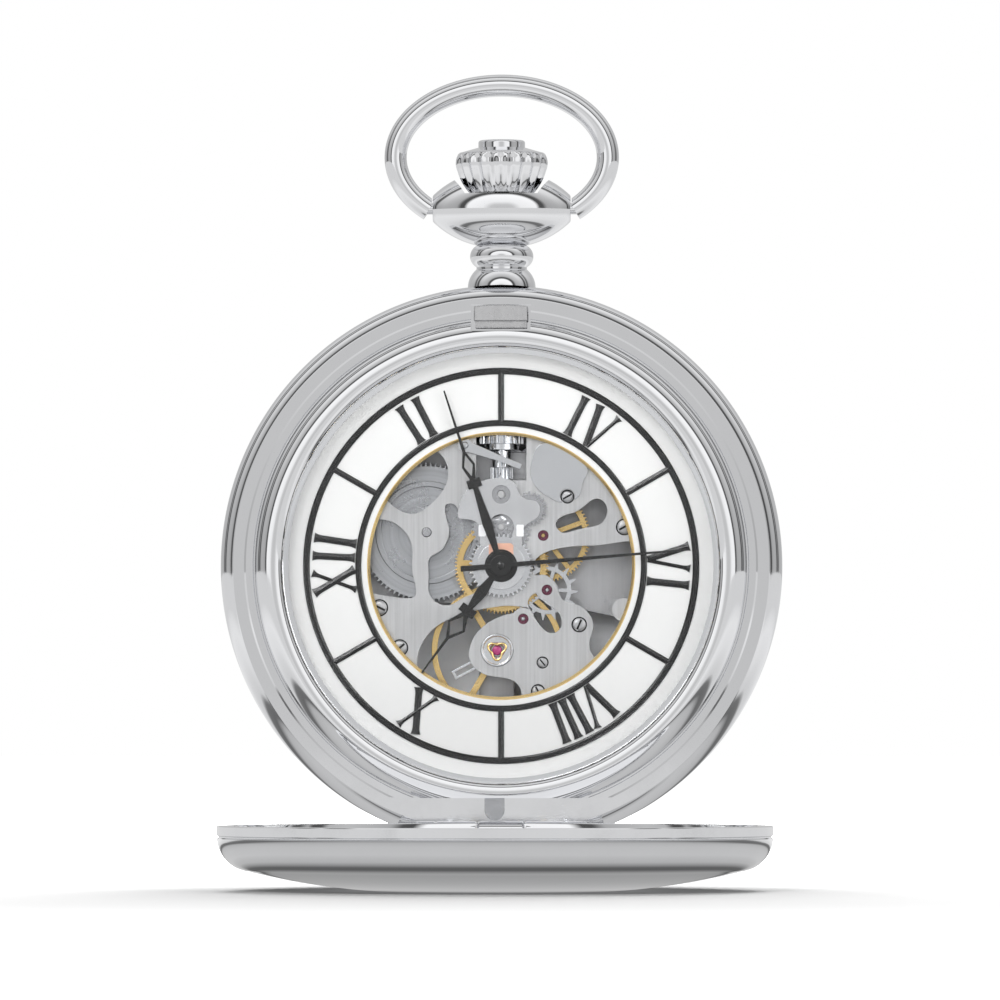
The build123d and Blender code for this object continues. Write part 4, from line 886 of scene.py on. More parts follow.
def copies_on_points(name: str, pattern: bpy.types.Object,
                     spots: Sequence[tuple[float, float, float, float]], finish: Finish,
                     place: Matrix) -> bpy.types.Object:
    """Copies of a pattern on given points, each with its own size and turn.

    Args:
        name: Name of the piece.
        pattern: Mesh of unit radius in the frame's units; it is dropped.
        spots: Right, up, size and turn in degrees of each copy.
        finish: Their finish.
        place: Frame that they stand in.

    Returns:
        The piece.
    """
    base = bpy.data.meshes.new(name + "_spots")
    base.from_pydata([(x, y, 0) for x, y, _, _ in spots], [], [])
    sizes = [size for _, _, size, _ in spots]
    turns = [math.radians(turn) for *_, turn in spots]
    for title, values in (("size", sizes), ("turn", turns)):
        layer = base.attributes.new(title, "FLOAT", "POINT")
        layer.data.foreach_set("value", values)
    forge = NodeForge(name + "_tree", (("Pattern", "NodeSocketObject", pattern),))
    source = forge.add("GeometryNodeObjectInfo")
    forge.join(forge.inside.outputs["Pattern"], source.inputs["Object"])
    size = forge.add("GeometryNodeInputNamedAttribute", data_type="FLOAT")
    size.inputs["Name"].default_value = "size"
    turn = forge.add("GeometryNodeInputNamedAttribute", data_type="FLOAT")
    turn.inputs["Name"].default_value = "turn"
    spin = forge.add("ShaderNodeCombineXYZ")
    forge.join(turn.outputs["Attribute"], spin.inputs["Z"])
    spread = forge.add("GeometryNodeInstanceOnPoints")
    forge.join(forge.inside.outputs["Geometry"], spread.inputs["Points"])
    forge.join(source.outputs["Geometry"], spread.inputs["Instance"])
    forge.join(spin.outputs[0], spread.inputs["Rotation"])
    forge.join(size.outputs["Attribute"], spread.inputs["Scale"])
    piece = forge.make(name, spread.outputs["Instances"], finish, base)
    bpy.data.objects.remove(pattern)
    piece.data.transform(place @ Matrix.Scale(MM, 4))
    return piece


# ---------------------------------------------------------------- studio
@dataclass
class Studio:
    """White room with a pale floor, softboxes and the camera, in metres and watts.

    Polished metal sees two sets of grey rings: the room's, by the angle from straight in front as a share of
    half a turn, and the floor's painted reflection, by the distance from the watch's foot, dark at the foot as
    a painted shadow. The floor also glows more with distance from the watch, as painted light.
    """

    camera_at: Spot = (0.016, -0.7269, 0.0124)
    aim_at: Spot = (-0.000085, 0.0231, 0.0329)
    lens: float = 316.7
    sensor: float = 36.0
    floor_half: float = 6.0
    floor_grey: float = 0.62
    # Painted light: the floor glows white, from none near the watch to full further out, so it is lighter away
    # from the watch.
    painted_glow: float = 0.9
    painted_glow_from: float = 0.06
    painted_glow_to: float = 0.24
    lights: tuple[tuple[str, Spot, float, float], ...] = (
        ("key_softbox", (-0.30, -0.60, 0.45), 0.5, 3.2),
        ("fill_softbox", (0.50, -0.50, 0.25), 0.45, 1.6),
        ("back_softbox", (0.02, 0.60, 0.42), 0.45, 12.0),
    )
    room_light: float = 0.34
    side_falloff: float = 6.0
    side_dim: float = 0.55
    top_lift: float = 0.12
    # Painted reflection: the grey rings that polished metal sees in the floor, by distance from the watch's
    # foot, darkest at the foot as a painted shadow.
    painted_reflection_scale: float = 5.0
    painted_floor_reflection: Stops = (
        (0.0, 0.10), (0.050, 0.14), (0.056, 0.55), (0.075, 0.40), (0.095, 0.32), (0.101, 0.12),
        (0.106, 0.14), (0.112, 0.50), (0.125, 0.62), (0.15, 0.60), (0.185, 0.52), (0.21, 0.16),
        (0.245, 0.20), (0.27, 0.72), (0.4, 0.86), (0.6, 0.92), (1.0, 0.75))
    rings: Stops = (
        (0.0, 0.62), (0.05, 0.66), (0.10, 1.0), (0.21, 1.1), (0.235, 0.08), (0.262, 0.10), (0.29, 0.48),
        (0.36, 0.66), (0.40, 0.80), (0.455, 0.85), (0.475, 0.16), (0.505, 0.16), (0.52, 0.80), (0.545, 0.22),
        (0.565, 0.22), (0.60, 0.75), (0.75, 0.55), (1.0, 0.6))

    def build(self) -> None:
        """Make the room, the lights and the camera."""
        scene = bpy.context.scene
        scene.view_settings.view_transform = "Standard"
        self.world(scene)
        self.floor()
        for name, spot, size, power in self.lights:
            self.softbox(name, Vector(spot), size, power)
        self.camera(scene)
        LOG.info("studio is ready")

    def camera(self, scene: bpy.types.Scene) -> None:
        """Stand the camera low in front, looking a little up.

        Args:
            scene: Scene that it films.
        """
        camera = bpy.data.cameras.new("camera")
        camera.lens = self.lens
        camera.sensor_width = self.sensor
        camera.clip_start = 0.01
        camera.clip_end = 50.0
        holder = bpy.data.objects.new("camera", camera)
        holder.location = self.camera_at
        way = Vector(self.aim_at) - Vector(self.camera_at)
        holder.rotation_euler = way.to_track_quat("-Z", "Y").to_euler()
        scene.collection.objects.link(holder)
        scene.camera = holder

    def softbox(self, name: str, spot: Vector, size: float, power: float) -> None:
        """Square light that faces the watch.

        Args:
            name: Name of the light.
            spot: Its place.
            size: Length of its side.
            power: Its power.
        """
        light = bpy.data.lights.new(name, "AREA")
        light.size = size
        light.energy = power
        holder = bpy.data.objects.new(name, light)
        holder.location = spot
        holder.rotation_euler = (DIAL_CENTRE - spot).to_track_quat("-Z", "Y").to_euler()
        holder.visible_glossy = False
        bpy.context.scene.collection.objects.link(holder)

    def floor(self) -> None:
        """Lay the pale floor, with a painted glow that rises with distance from the watch and a painted
        reflection, dark at the watch's foot, that only polished metal sees.
        """
        bm = bmesh.new()
        bmesh.ops.create_grid(bm, x_segments=1, y_segments=1, size=self.floor_half / MM)
        floor = add_mesh("floor", bm, FOOT)
        paint = bpy.data.materials.new("floor_painted_light")
        paint.use_nodes = True
        tree = paint.node_tree
        shader = tree.nodes["Principled BSDF"]
        shader.inputs["Base Color"].default_value = (*[self.floor_grey] * 3, 1)
        shader.inputs["Roughness"].default_value = 0.9
        shader.inputs["Specular IOR Level"].default_value = 0.0
        reach = tree.nodes.new("ShaderNodeVectorMath")
        reach.operation = "LENGTH"
        link(tree, tree.nodes.new("ShaderNodeTexCoord").outputs["Object"], reach.inputs[0])
        # Painted light: emission that rises with distance from the watch's foot makes the far floor glow
        # white.
        fade = tree.nodes.new("ShaderNodeMapRange")
        fade.interpolation_type = "SMOOTHSTEP"
        fade.inputs["From Min"].default_value = self.painted_glow_from
        fade.inputs["From Max"].default_value = self.painted_glow_to
        link(tree, reach.outputs["Value"], fade.inputs["Value"])
        painted_glow = maths(tree, "MULTIPLY", fade.outputs["Result"], self.painted_glow)
        shader.inputs["Emission Color"].default_value = (1, 1, 1, 1)
        link(tree, painted_glow, shader.inputs["Emission Strength"])
        # Painted reflection: glossy rays see a glowing grey picture instead of the lit floor, dark near the
        # foot as a painted shadow.
        near = maths(tree, "MULTIPLY", reach.outputs["Value"], self.painted_reflection_scale)
        seen = tree.nodes.new("ShaderNodeEmission")
        link(tree, grey_ramp(tree, near, self.painted_floor_reflection), seen.inputs["Color"])
        path = tree.nodes.new("ShaderNodeLightPath")
        mix = tree.nodes.new("ShaderNodeMixShader")
        link(tree, path.outputs["Is Glossy Ray"], mix.inputs[0])
        link(tree, shader.outputs[0], mix.inputs[1])
        link(tree, seen.outputs[0], mix.inputs[2])
        link(tree, mix.outputs[0], tree.nodes["Material Output"].inputs["Surface"])
        floor.data.materials.append(paint)

    def world(self, scene: bpy.types.Scene) -> None:
        """White room, which shows a few grey rings to polished metal.

        Args:
            scene: Scene that it surrounds.
        """
        world = bpy.data.worlds.new("white_room")
        world.use_nodes = True
        tree = world.node_tree
        back = tree.nodes["Background"]
        way = tree.nodes.new("ShaderNodeTexCoord")
        parts = tree.nodes.new("ShaderNodeSeparateXYZ")
        link(tree, way.outputs["Generated"], parts.inputs[0])
        towards = maths(tree, "MULTIPLY", parts.outputs["Y"], -1.0)
        turn = maths(tree, "DIVIDE", maths(tree, "ARCCOSINE", towards), math.pi)
        sides = maths(tree, "POWER", maths(tree, "ABSOLUTE", parts.outputs["X"]), self.side_falloff)
        dim = maths(tree, "SUBTRACT", 1.0, maths(tree, "MULTIPLY", sides, self.side_dim))
        lift = maths(tree, "ADD", maths(tree, "MULTIPLY", parts.outputs["Z"], self.top_lift), dim)
        seen = maths(tree, "MULTIPLY", grey_ramp(tree, turn, self.rings), lift)
        path = tree.nodes.new("ShaderNodeLightPath")
        soft = tree.nodes.new("ShaderNodeMix")
        link(tree, path.outputs["Is Glossy Ray"], soft.inputs["Factor"])
        soft.inputs["A"].default_value = self.room_light
        link(tree, seen, soft.inputs["B"])
        mix = tree.nodes.new("ShaderNodeMix")
        link(tree, path.outputs["Is Camera Ray"], mix.inputs["Factor"])
        link(tree, soft.outputs["Result"], mix.inputs["A"])
        mix.inputs["B"].default_value = 1.0
        link(tree, mix.outputs["Result"], back.inputs["Color"])
        back.inputs["Strength"].default_value = 1.0
        scene.world = world


# ---------------------------------------------------------------- case
@dataclass
class CaseShell:
    """Band, back, bezel, crystal, lid and their hinge."""

    steps: int = 360
    back_inner: float = 21.97
    land_half: float = 10.7
    land_top: float = 19.75
    catch_half: float = 2.55
    knuckle_r: float = 0.7
    pocket_r: float = 0.82
    bore_r: float = 0.37
    outer_knuckle: tuple[float, float] = (5.6, 8.8)
    lid_knuckle: tuple[float, float] = (2.1, 5.5)

    def build(self) -> None:
        """Make every piece of the case."""
        self.band()
        self.back()
        self.bezel()
        self.crystal()
        self.lid()
        soft_node("hinge_pin", BRIGHT_STEEL, 0.05)
        soft_node("lid_spring", RAW_STEEL, 0.05)
        self.catch()

    def knuckle(self, start: float, end: float) -> bpy.types.Object:
        """Hollow knuckle on the hinge's axis, with softened ends.

        Args:
            start: Where it starts along the pin.
            end: Where it ends.

        Returns:
            The object.
        """
        r, b, edge = self.knuckle_r, self.bore_r, 0.08
        profile = [(b, start), (r - edge, start), (r, start + edge), (r, end - edge), (r - edge, end),
                   (b, end)]
        return lathe("knuckle", profile, hinge_frame(), 64)

    def pocket(self, start: float, end: float) -> bpy.types.Object:
        """Cutter that clears a knuckle's turn."""
        return rod(self.pocket_r, start, end, hinge_frame())

    def band(self) -> None:
        """Make the case band with its seat, hinge land and knuckles."""
        profile = [(19.0, 0.95), (21.1, 0.95), (21.1, -0.72), (21.16, -0.8), (21.74, -0.8), (21.9, -0.7),
                   (21.9, 0.0), (22.87, 0.0), (22.95, 0.05)]
        profile += arc((22.95, 0.12), (23.68, 0.62), (24.0, 1.5))
        profile += [(24.0, 2.8)] + arc((24.0, 4.1), (23.69, 5.0), (22.95, 5.4))
        profile += [(21.9, 5.4), (21.9, 6.1), (21.1, 6.1), (21.1, 5.4), (19.0, 5.4)]
        band = lathe("case_band", profile, dial_frame(), self.steps, flip=True)
        inner_end, outer_end = self.lid_knuckle[0] - 0.05, self.lid_knuckle[1] + 0.05
        cutters = [block((-self.land_half, -30, 0.002), (self.land_half, -self.land_top, 3), dial_frame()),
                   block((-self.catch_half, 19.9, -0.95), (self.catch_half, 22.3, 1.05), dial_frame()),
                   self.pocket(-outer_end, -inner_end), self.pocket(inner_end, outer_end),
                   rod(1.3, 18, 25, stem_frame())]
        cut(band, cutters)
        parts = [band, self.land()]
        outer = self.outer_knuckle
        for start, end in ((-1.9, 1.9), (-outer[1], -outer[0]), outer):
            parts.append(self.knuckle(start, end))
            web_front, web_back = HINGE_AT.y / MM + 0.38, SEAT_Y / MM + 0.6
            parts.append(block((start, web_front, 4.3), (end, web_back, 5.3), FOOT))
        dress(joined("case_band", parts), MIRROR_STEEL, "case", ("case_middle",))

    def land(self) -> bpy.types.Object:
        """Fill of the flat land behind the hinge.

        Returns:
            The object.
        """
        reach, spans = 21.95, 48
        half = math.degrees(math.acos(self.land_top / reach))
        spots = [polar(reach, -90 - half + 2 * half * step / spans) for step in range(spans + 1)]
        return prism("land", spots, -0.95, -0.001, dial_frame())

    def back(self) -> None:
        """Make the domed back cover."""
        profile = [(0, 8.8), (0, 9.6), (10.35, 9.6)] + arc((10.35, 9.6), (15.6, 9.05), (20.4, 8.15), 16)[1:]
        profile += arc((20.4, 8.15), (22.35, 7.2), (23.0, 6.15), 14)[1:]
        profile += [(23.0, 5.48), (22.92, 5.4), (21.95, 5.4), (21.95, 6.4)]
        profile += arc((21.95, 6.4), (21.5, 7.0), (20.0, 7.4))[1:]
        profile += arc((20.0, 7.4), (15.0, 8.3), (9.8, 8.8))[1:]
        back = lathe("back_cover", profile, dial_frame(), self.steps, flip=True)
        dress(back, MIRROR_STEEL, "case", ("case_back",))
        back.data.materials.append(SATIN_STEEL.material())
        for face in back.data.polygons:
            within = math.hypot(face.center.x, face.center.z - DIAL_CENTRE.z) < self.back_inner * MM
            face.material_index = int(within and face.normal.y < -0.2)

    def bezel(self) -> None:
        """Make the rounded ring that holds the crystal."""
        profile = [(18.1, 0.4), (18.1, -0.8), (18.55, -0.8), (18.55, -1.6), (18.62, -1.8), (18.8, -1.99)]
        profile += arc((18.8, -1.99), (20.2, -1.9), (20.95, -1.0), 16)[1:]
        profile += [(20.95, 0.9), (20.0, 0.9), (20.0, 0.4)]
        bezel = lathe("bezel_ring", profile, dial_frame(), self.steps, flip=True)
        cut(bezel, [block((-self.catch_half, 19.95, -0.95), (self.catch_half, 22.25, 2.25), dial_frame()),
                    block((-self.land_half, -24, -0.95), (self.land_half, -19.8, 2.25), dial_frame())])
        dress(bezel, MIRROR_STEEL, "case", ("bezel",))

    def crystal(self) -> None:
        """Make the slightly domed glass."""
        across = arc((-18.1, -1.55), (0, -1.75), (18.1, -1.55), 32)
        front = [(max(radius, 0), depth) for radius, depth in across[16:]]
        profile = [(0, -0.85), *front, (18.42, -1.38), (18.5, -1.3), (18.5, -0.85)]
        glass = lathe("crystal_glass", profile, dial_frame(), self.steps, flip=True)
        glass.data.materials.append(crystal_glass())
        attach(glass, "case")
        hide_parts("crystal")
        LOG.info("crystal_glass rides on case")

    def catch(self) -> None:
        """Make the spring catch that holds the lid's lip."""
        reach, half, spans = 22.25, 5.9, 16
        top = [polar(reach, 90 - half + 2 * half * step / spans) for step in range(spans + 1)]
        outline = rounded([(2.3, 20.85), *top, (-2.3, 20.85), (0, 20.85)], 0.12)
        tab = prism("catch_tab", outline, 0.35, 0.75, dial_frame())
        modifier = tab.modifiers.new("edges", "BEVEL")
        modifier.width = 0.1 * MM
        modifier.segments = 3
        bake(tab)
        stem = block((-2.0, 20.4, -0.8), (2.0, 21.1, 0.4), dial_frame())
        foot = block((-2.2, 20.3, -0.1), (2.2, 20.9, 0.36), dial_frame())
        dress(joined("catch_spring", [tab, stem, foot]), WORN_STEEL, "catch", ("catch",))

    def lid(self) -> None:
        """Make the lid that the watch stands on."""
        profile = [(0, 0.8), (0, 0), (10.35, 0)] + arc((10.35, 0), (15.6, 0.62), (20.4, 1.62), 16)[1:]
        profile += arc((20.4, 1.62), (22.3, 2.62), (23.0, 4.3), 16)[1:]
        profile += [(22.84, 4.4), (22.84, 4.46), (23.0, 4.56), (23.0, 5.28), (22.97, 5.33), (22.9, 5.37),
                    (22.1, 5.37), (22.03, 5.34), (22.0, 5.27)]
        profile += arc((22.0, 4.2), (21.5, 3.1), (20.0, 2.42))
        profile += arc((20.0, 2.42), (15.2, 1.42), (9.8, 0.8))[1:]
        lid = lathe("lid_shell", profile, FOOT, self.steps)
        outer = self.outer_knuckle
        cutters = [self.pocket(-2.0, 2.0), self.pocket(-outer[1] - 0.1, -outer[0] + 0.05),
                   self.pocket(outer[0] - 0.05, outer[1] + 0.1),
                   block((-2.6, -22.5, 4.52), (2.6, -21.5, 5.12), FOOT),
                   rod(self.bore_r, -outer[1], outer[1], hinge_frame(), 48)]
        cut(lid, cutters)
        near, far = self.lid_knuckle
        shell = joined("lid_shell", [lid, self.knuckle(-far, -near), self.knuckle(near, far)])
        dress(shell, MIRROR_STEEL, "lid", ("lid",))


# ---------------------------------------------------------------- pendant
@dataclass
class Pendant:
    """Neck, head, bow, crown and its push button."""

    head_at: float = 30.65
    neck_top: float = 27.5
    head_half: float = 5.9
    cup_floor: float = 31.83
    cup_r: float = 4.06
    wire_r: float = 0.95
    bow_wide: float = 9.1
    bow_high: float = 6.16
    bow_up: float = 35.06
    flutes: int = 22
    flute_depth: float = 0.26

    def build(self) -> None:
        """Make every piece of the pendant."""
        self.neck()
        self.head()
        self.bow()
        self.crown()
        soft_node("crown_gasket", RUBBER, 0.05)
        soft_node("stem", BRIGHT_STEEL, 0.05)

    def neck(self) -> None:
        """Make the waisted neck and trim it to the band."""
        profile = [(0.9, 22.4), (2.9, 22.4)] + arc((2.9, 23.75), (2.72, 24.7), (2.2, 25.4))
        profile += [(2.16, 25.45), (2.16, 25.6)] + arc((2.2, 25.65), (2.71, 26.55), (2.2, 27.45), 16)
        profile += [(2.1, 27.5), (0.9, 27.5)]
        neck = lathe("pendant_stem_tube", profile, stem_frame(), 192)
        cut(neck, [rod(23.98, -6, 9, dial_frame(), 720)])
        dress(neck, MIRROR_STEEL, "case", ("pendant_neck",))

    def head(self) -> None:
        """Make the barrel-shaped head with its cup for the crown."""
        half = self.head_half
        profile = [(0, half), (1.08, half)] + arc((1.2, half - 0.08), (2.43, 4.1), (3.35, 0), 18)
        profile += mirrored(profile[:-1])
        head = lathe("pendant_barrel", profile, head_frame(), 256)
        cutters = [rod(self.cup_r, self.cup_floor, self.cup_floor + 5, stem_frame(), 192),
                   block((-8, -8, 20), (8, 8, self.neck_top), stem_frame()), rod(0.9, 27, 36, stem_frame()),
                   rod(0.55, half - 1.5, half + 1, head_frame()),
                   rod(0.55, -half - 1, 1.5 - half, head_frame())]
        cut(head, cutters)
        dress(head, MIRROR_STEEL, "case", ("pendant_head",))

    def bow(self) -> None:
        """Make the oval bow with its two journals."""
        steps, around, first, sweep = 180, 48, -47, 274
        bm = bmesh.new()
        rings = []
        for step in range(steps + 1):
            c, s = polar(1.0, first + sweep * step / steps)
            centre = Vector((self.bow_wide * c, 0, self.bow_up + self.bow_high * s))
            way = Vector((-self.bow_wide * s, 0, self.bow_high * c)).normalized()
            side = way.cross(Vector((0, 1, 0)))
            ring = []
            for turn in range(around):
                out, back = polar(self.wire_r, 360 * turn / around)
                ring.append(bm.verts.new(centre + side * out + Vector((0, back, 0))))
            rings.append(ring)
        skin(bm, rings, closed=False)
        wire = add_mesh("bow_wire", bm, stem_frame())
        cut(wire, [block((-6.0, -3, self.head_at - 4), (6.0, 3, self.head_at + 2), stem_frame()),
                   block((-10, -3, self.head_at - 4.2), (10, 3, self.head_at - 1.0), stem_frame())])
        pins = [rod(0.5, 4.6, 6.4, head_frame(), 48), rod(0.5, -6.4, -4.6, head_frame(), 48)]
        dress(joined("bow_wire", [wire, *pins]), MIRROR_STEEL, "bow", ("bow",))

    def crown(self) -> None:
        """Make the fluted crown and the button in it."""
        top, per_flute, fade_in = 35.25, 12, 0.35
        outline = [(2.6, 31.95)] + arc((2.75, 31.97), (3.35, 32.8), (3.8, 33.9), 8)
        outline += arc((3.8, 33.9), (3.94, 34.5), (3.75, 35.3), 8)[1:]
        outline += [(3.62, 35.42), (3.3, 35.5), (2.15, 35.84)]
        inner = [(2.06, 35.8), (2.06, 33.4), (0.55, 33.4), (0.55, 31.95)]
        steps = self.flutes * per_flute
        bm = bmesh.new()
        rings = []
        for radius, height in outline + inner:
            ring = []
            for step in range(steps):
                phase = (step % per_flute) / per_flute
                dip = self.flute_depth * (0.5 - 0.5 * math.cos(math.tau * phase)) ** 0.6
                outwards = max(0.0, min(1.0, (radius - 2.6) / 0.9))
                below_top = max(0.0, min(1.0, (top - height) / fade_in))
                x, y = polar(radius - dip * outwards * below_top, 360 * step / steps)
                ring.append(bm.verts.new((x, y, height)))
            rings.append(ring)
        skin(bm, rings, closed=True)
        dress(add_mesh("crown_knob", bm, stem_frame(), 40), MIRROR_STEEL, "crown", ("crown",))
        profile = [(0, 34.6), (2.0, 34.6), (2.0, 36.28)] + arc((2.0, 36.3), (1.94, 36.44), (1.8, 36.5), 5)
        button = lathe("crown_button", [*profile, (0, 36.55)], stem_frame(), 128)
        dress(button, MIRROR_STEEL, "push_button", ("push_button",))


# ---------------------------------------------------------------- dial and hands
@dataclass(frozen=True)
class Stroke:
    """Straight stroke of a numeral, from one radius and angle to another."""

    start: Point
    end: Point
    half: float
    serif: float
    serif_at_end: bool = True


class Numeral(Enum):
    """Numerals of the dial."""

    TWO = "II"
    FOUR = "IV"
    SIX = "VI"
    EIGHT = "VIII"
    TEN = "X"
    TWELVE = "XII"


@dataclass
class DialFace:
    """White dial, its opening ring, chapter rings, bars, numerals and hands."""

    front: float = 0.5
    inner: float = 12.5
    outer: float = 16.12
    thick: float = 0.29
    thin: float = 0.15
    thick_serif: float = 0.43
    thin_serif: float = 0.36
    serif_curve: float = 2.6
    edge_height: float = 0.08
    ridge_height: float = 0.15
    rings: tuple[tuple[float, float], ...] = ((11.93, 12.44), (16.34, 16.90))
    bar_half: float = 0.25

    def build(self) -> None:
        """Make every piece of the dial."""
        profile = [(11.45, 0.5), (11.45, 0.85), (18.6, 0.85), (18.6, 0.5)]
        dial = lathe("dial_plate", profile, dial_frame(), 360, flip=True)
        cut(dial, [block((-10.7, -24, -2), (10.7, -19.75, 2), dial_frame())])
        dress(dial, DIAL_WHITE, "case", ("dial",))
        ring = [(11.17, 1.0), (11.45, 1.0), (11.45, 0.5), (11.42, 0.46), (11.36, 0.46), (11.17, 0.62)]
        opening = lathe("opening_ring", ring, dial_frame(), 360, flip=True)
        dress(opening, GOLD, "case", ("dial_opening_ring",))
        self.marks()
        self.numerals()
        for node in ("hour_hand", "minute_hand", "second_hand"):
            soft_node(node, BLACK_LACQUER_AND_SHADE, 0.035)
        soft_node("dial_washer", BRIGHT_NICKEL, 0.03)
        self.hub()

    def hub(self) -> None:
        """Make the copper shim above the hub and the cap over the hands."""
        shim = [(-1.05, 0.75), (1.05, 0.75), (1.05, 1.75), (0.85, 1.92), (-0.85, 1.92), (-1.05, 1.75)]
        dress(prism("copper_shim", shim, -0.39, -0.34, dial_frame()), COPPER, "case")
        cap = [(0, -0.42), (0, -0.55), (0.2, -0.54), (0.31, -0.5), (0.34, -0.42)]
        dress(lathe("hand_cap", cap, dial_frame(), 48, flip=True), BLACK_LACQUER_AND_SHADE, "fourth")

    def marks(self) -> None:
        """Make the chapter rings and the bars between them."""
        f, e, r = self.front, self.edge_height, self.ridge_height
        parts = []
        for inner, outer in self.rings:
            middle = (inner + outer) / 2
            profile = [(inner, f), (inner, f - e), (middle - 0.12, f - r), (middle + 0.12, f - r),
                       (outer, f - e), (outer, f)]
            parts.append(lathe("chapter_ring", profile, dial_frame(), 360, flip=True, sharp=15))
        dress(joined("chapter_rings", parts), BLACK_LACQUER_AND_SHADE, "case", ("dial_marks",))
        low, high = self.rings[0][1] - 0.1, self.rings[1][0] + 0.1
        bm = bmesh.new()
        add_ridge(bm, [((low, 0), self.bar_half), ((high, 0), self.bar_half)], -f, -f + e, -f + r)
        pattern = add_mesh("bar_pattern", bm, UNIT, 15)
        bars = copies_in_ring("hour_bars", pattern, 6, 30, BLACK_LACQUER_AND_SHADE, dial_frame())
        dress(bars, BLACK_LACQUER_AND_SHADE, "case")

    def strokes(self, numeral: Numeral, middle: float) -> list[Stroke]:
        """Strokes of a numeral about its middle angle.

        Args:
            numeral: Which numeral.
            middle: Angle of its middle, in degrees.

        Returns:
            The strokes.
        """
        def upright(angle: float) -> Stroke:
            """Radial thick stroke."""
            return Stroke((self.inner, angle), (self.outer, angle), self.thick, self.thick_serif)

        def vee(thick_top: float, apex: float, thin_top: float) -> list[Stroke]:
            """Thick and thin strokes that meet at the inner end.

            Args:
                thick_top: Angle of the thick stroke's outer end.
                apex: Angle where they meet.
                thin_top: Angle of the thin stroke's outer end.

            Returns:
                The two strokes.
            """
            thick_foot, thin_foot = (self.inner, apex + 0.25), (self.inner, apex - 0.25)
            return [Stroke((self.outer, thick_top), thick_foot, self.thick, self.thick_serif, False),
                    Stroke((self.outer, thin_top), thin_foot, self.thin, self.thin_serif, False)]

        def cross(angle: float) -> list[Stroke]:
            """Thick and thin strokes that cross.

            Args:
                angle: Angle of the cross's middle.

            Returns:
                The two strokes.
            """
            top, foot = 3.05, 3.95
            tops = (self.outer, angle + top), (self.outer, angle - top)
            feet = (self.inner, angle - foot), (self.inner, angle + foot)
            return [Stroke(tops[0], feet[0], self.thick, self.thick_serif),
                    Stroke(tops[1], feet[1], self.thin, self.thin_serif)]

        shapes: dict[Numeral, list[Stroke]] = {
            Numeral.TWO: [upright(middle + 2.76), upright(middle - 2.76)],
            Numeral.FOUR: [upright(middle + 3.2), *vee(middle - 1.8, middle - 5.5, middle - 8.7)],
            Numeral.SIX: [*vee(middle + 6.0, middle + 2.3, middle - 0.9), upright(middle - 6.0)],
            Numeral.EIGHT: [*vee(middle + 7.8, middle + 5.2, middle + 0.8), upright(middle - 1.9),
                            upright(middle - 5.7), upright(middle - 9.5)],
            Numeral.TEN: cross(middle),
            Numeral.TWELVE: [*cross(middle + 5.35), upright(middle - 3.1), upright(middle - 8.6)],
        }
        return shapes[numeral]

    def numerals(self) -> None:
        """Make the raised numerals, with the twelve on the left."""
        places = {Numeral.TWELVE: 180, Numeral.TWO: 120, Numeral.FOUR: 60, Numeral.SIX: 0,
                  Numeral.EIGHT: -60, Numeral.TEN: -120}
        for numeral, middle in places.items():
            bm = bmesh.new()
            for stroke in self.strokes(numeral, middle):
                self.stroke(bm, stroke)
            piece = add_mesh("numeral_" + numeral.value, bm, dial_frame(), 15)
            dress(piece, BLACK_LACQUER_AND_SHADE, "case")

    def stroke(self, bm: bmesh.types.BMesh, stroke: Stroke) -> None:
        """Add one ridged stroke with concave serifs.

        Args:
            bm: Mesh that takes it.
            stroke: The stroke's ends and widths.
        """
        start, end = Vector(polar(*stroke.start)), Vector(polar(*stroke.end))
        length, reach = (end - start).length, 0.75
        stations = [0.0, 0.06, 0.14, 0.26, 0.42, 0.6, reach, length / 2]
        stations += [length - gap for gap in reversed(stations[:-1])]
        rows = []
        for along in stations:
            near = min(along, length - along if stroke.serif_at_end else length)
            flare = max(0.0, 1 - near / reach) ** self.serif_curve
            spot = start.lerp(end, along / length)
            rows.append(((spot.x, spot.y), stroke.half + (stroke.serif - stroke.half) * flare))
        f = self.front
        add_ridge(bm, rows, -f, -f + self.edge_height, -f + self.ridge_height)


def add_ridge(bm: bmesh.types.BMesh, rows: Sequence[tuple[Point, float]], foot: float, edge: float,
              ridge: float) -> None:
    """Add a bar with a ridged top along a straight line.

    Args:
        bm: Mesh that takes it.
        rows: Centre and half width at each station.
        foot: Height of its foot.
        edge: Height of its side.
        ridge: Height of its ridge.
    """
    first, last = Vector(rows[0][0]), Vector(rows[-1][0])
    way = (last - first).normalized()
    side = Vector((-way.y, way.x))
    rings = []
    for spot, half in rows:
        here = Vector(spot)
        ring = []
        for share, level in ((-1, foot), (-1, edge), (0, ridge), (1, edge), (1, foot)):
            at = here + side * half * share
            ring.append(bm.verts.new((at.x, at.y, level)))
        rings.append(ring)
    skin(bm, rings, closed=False)


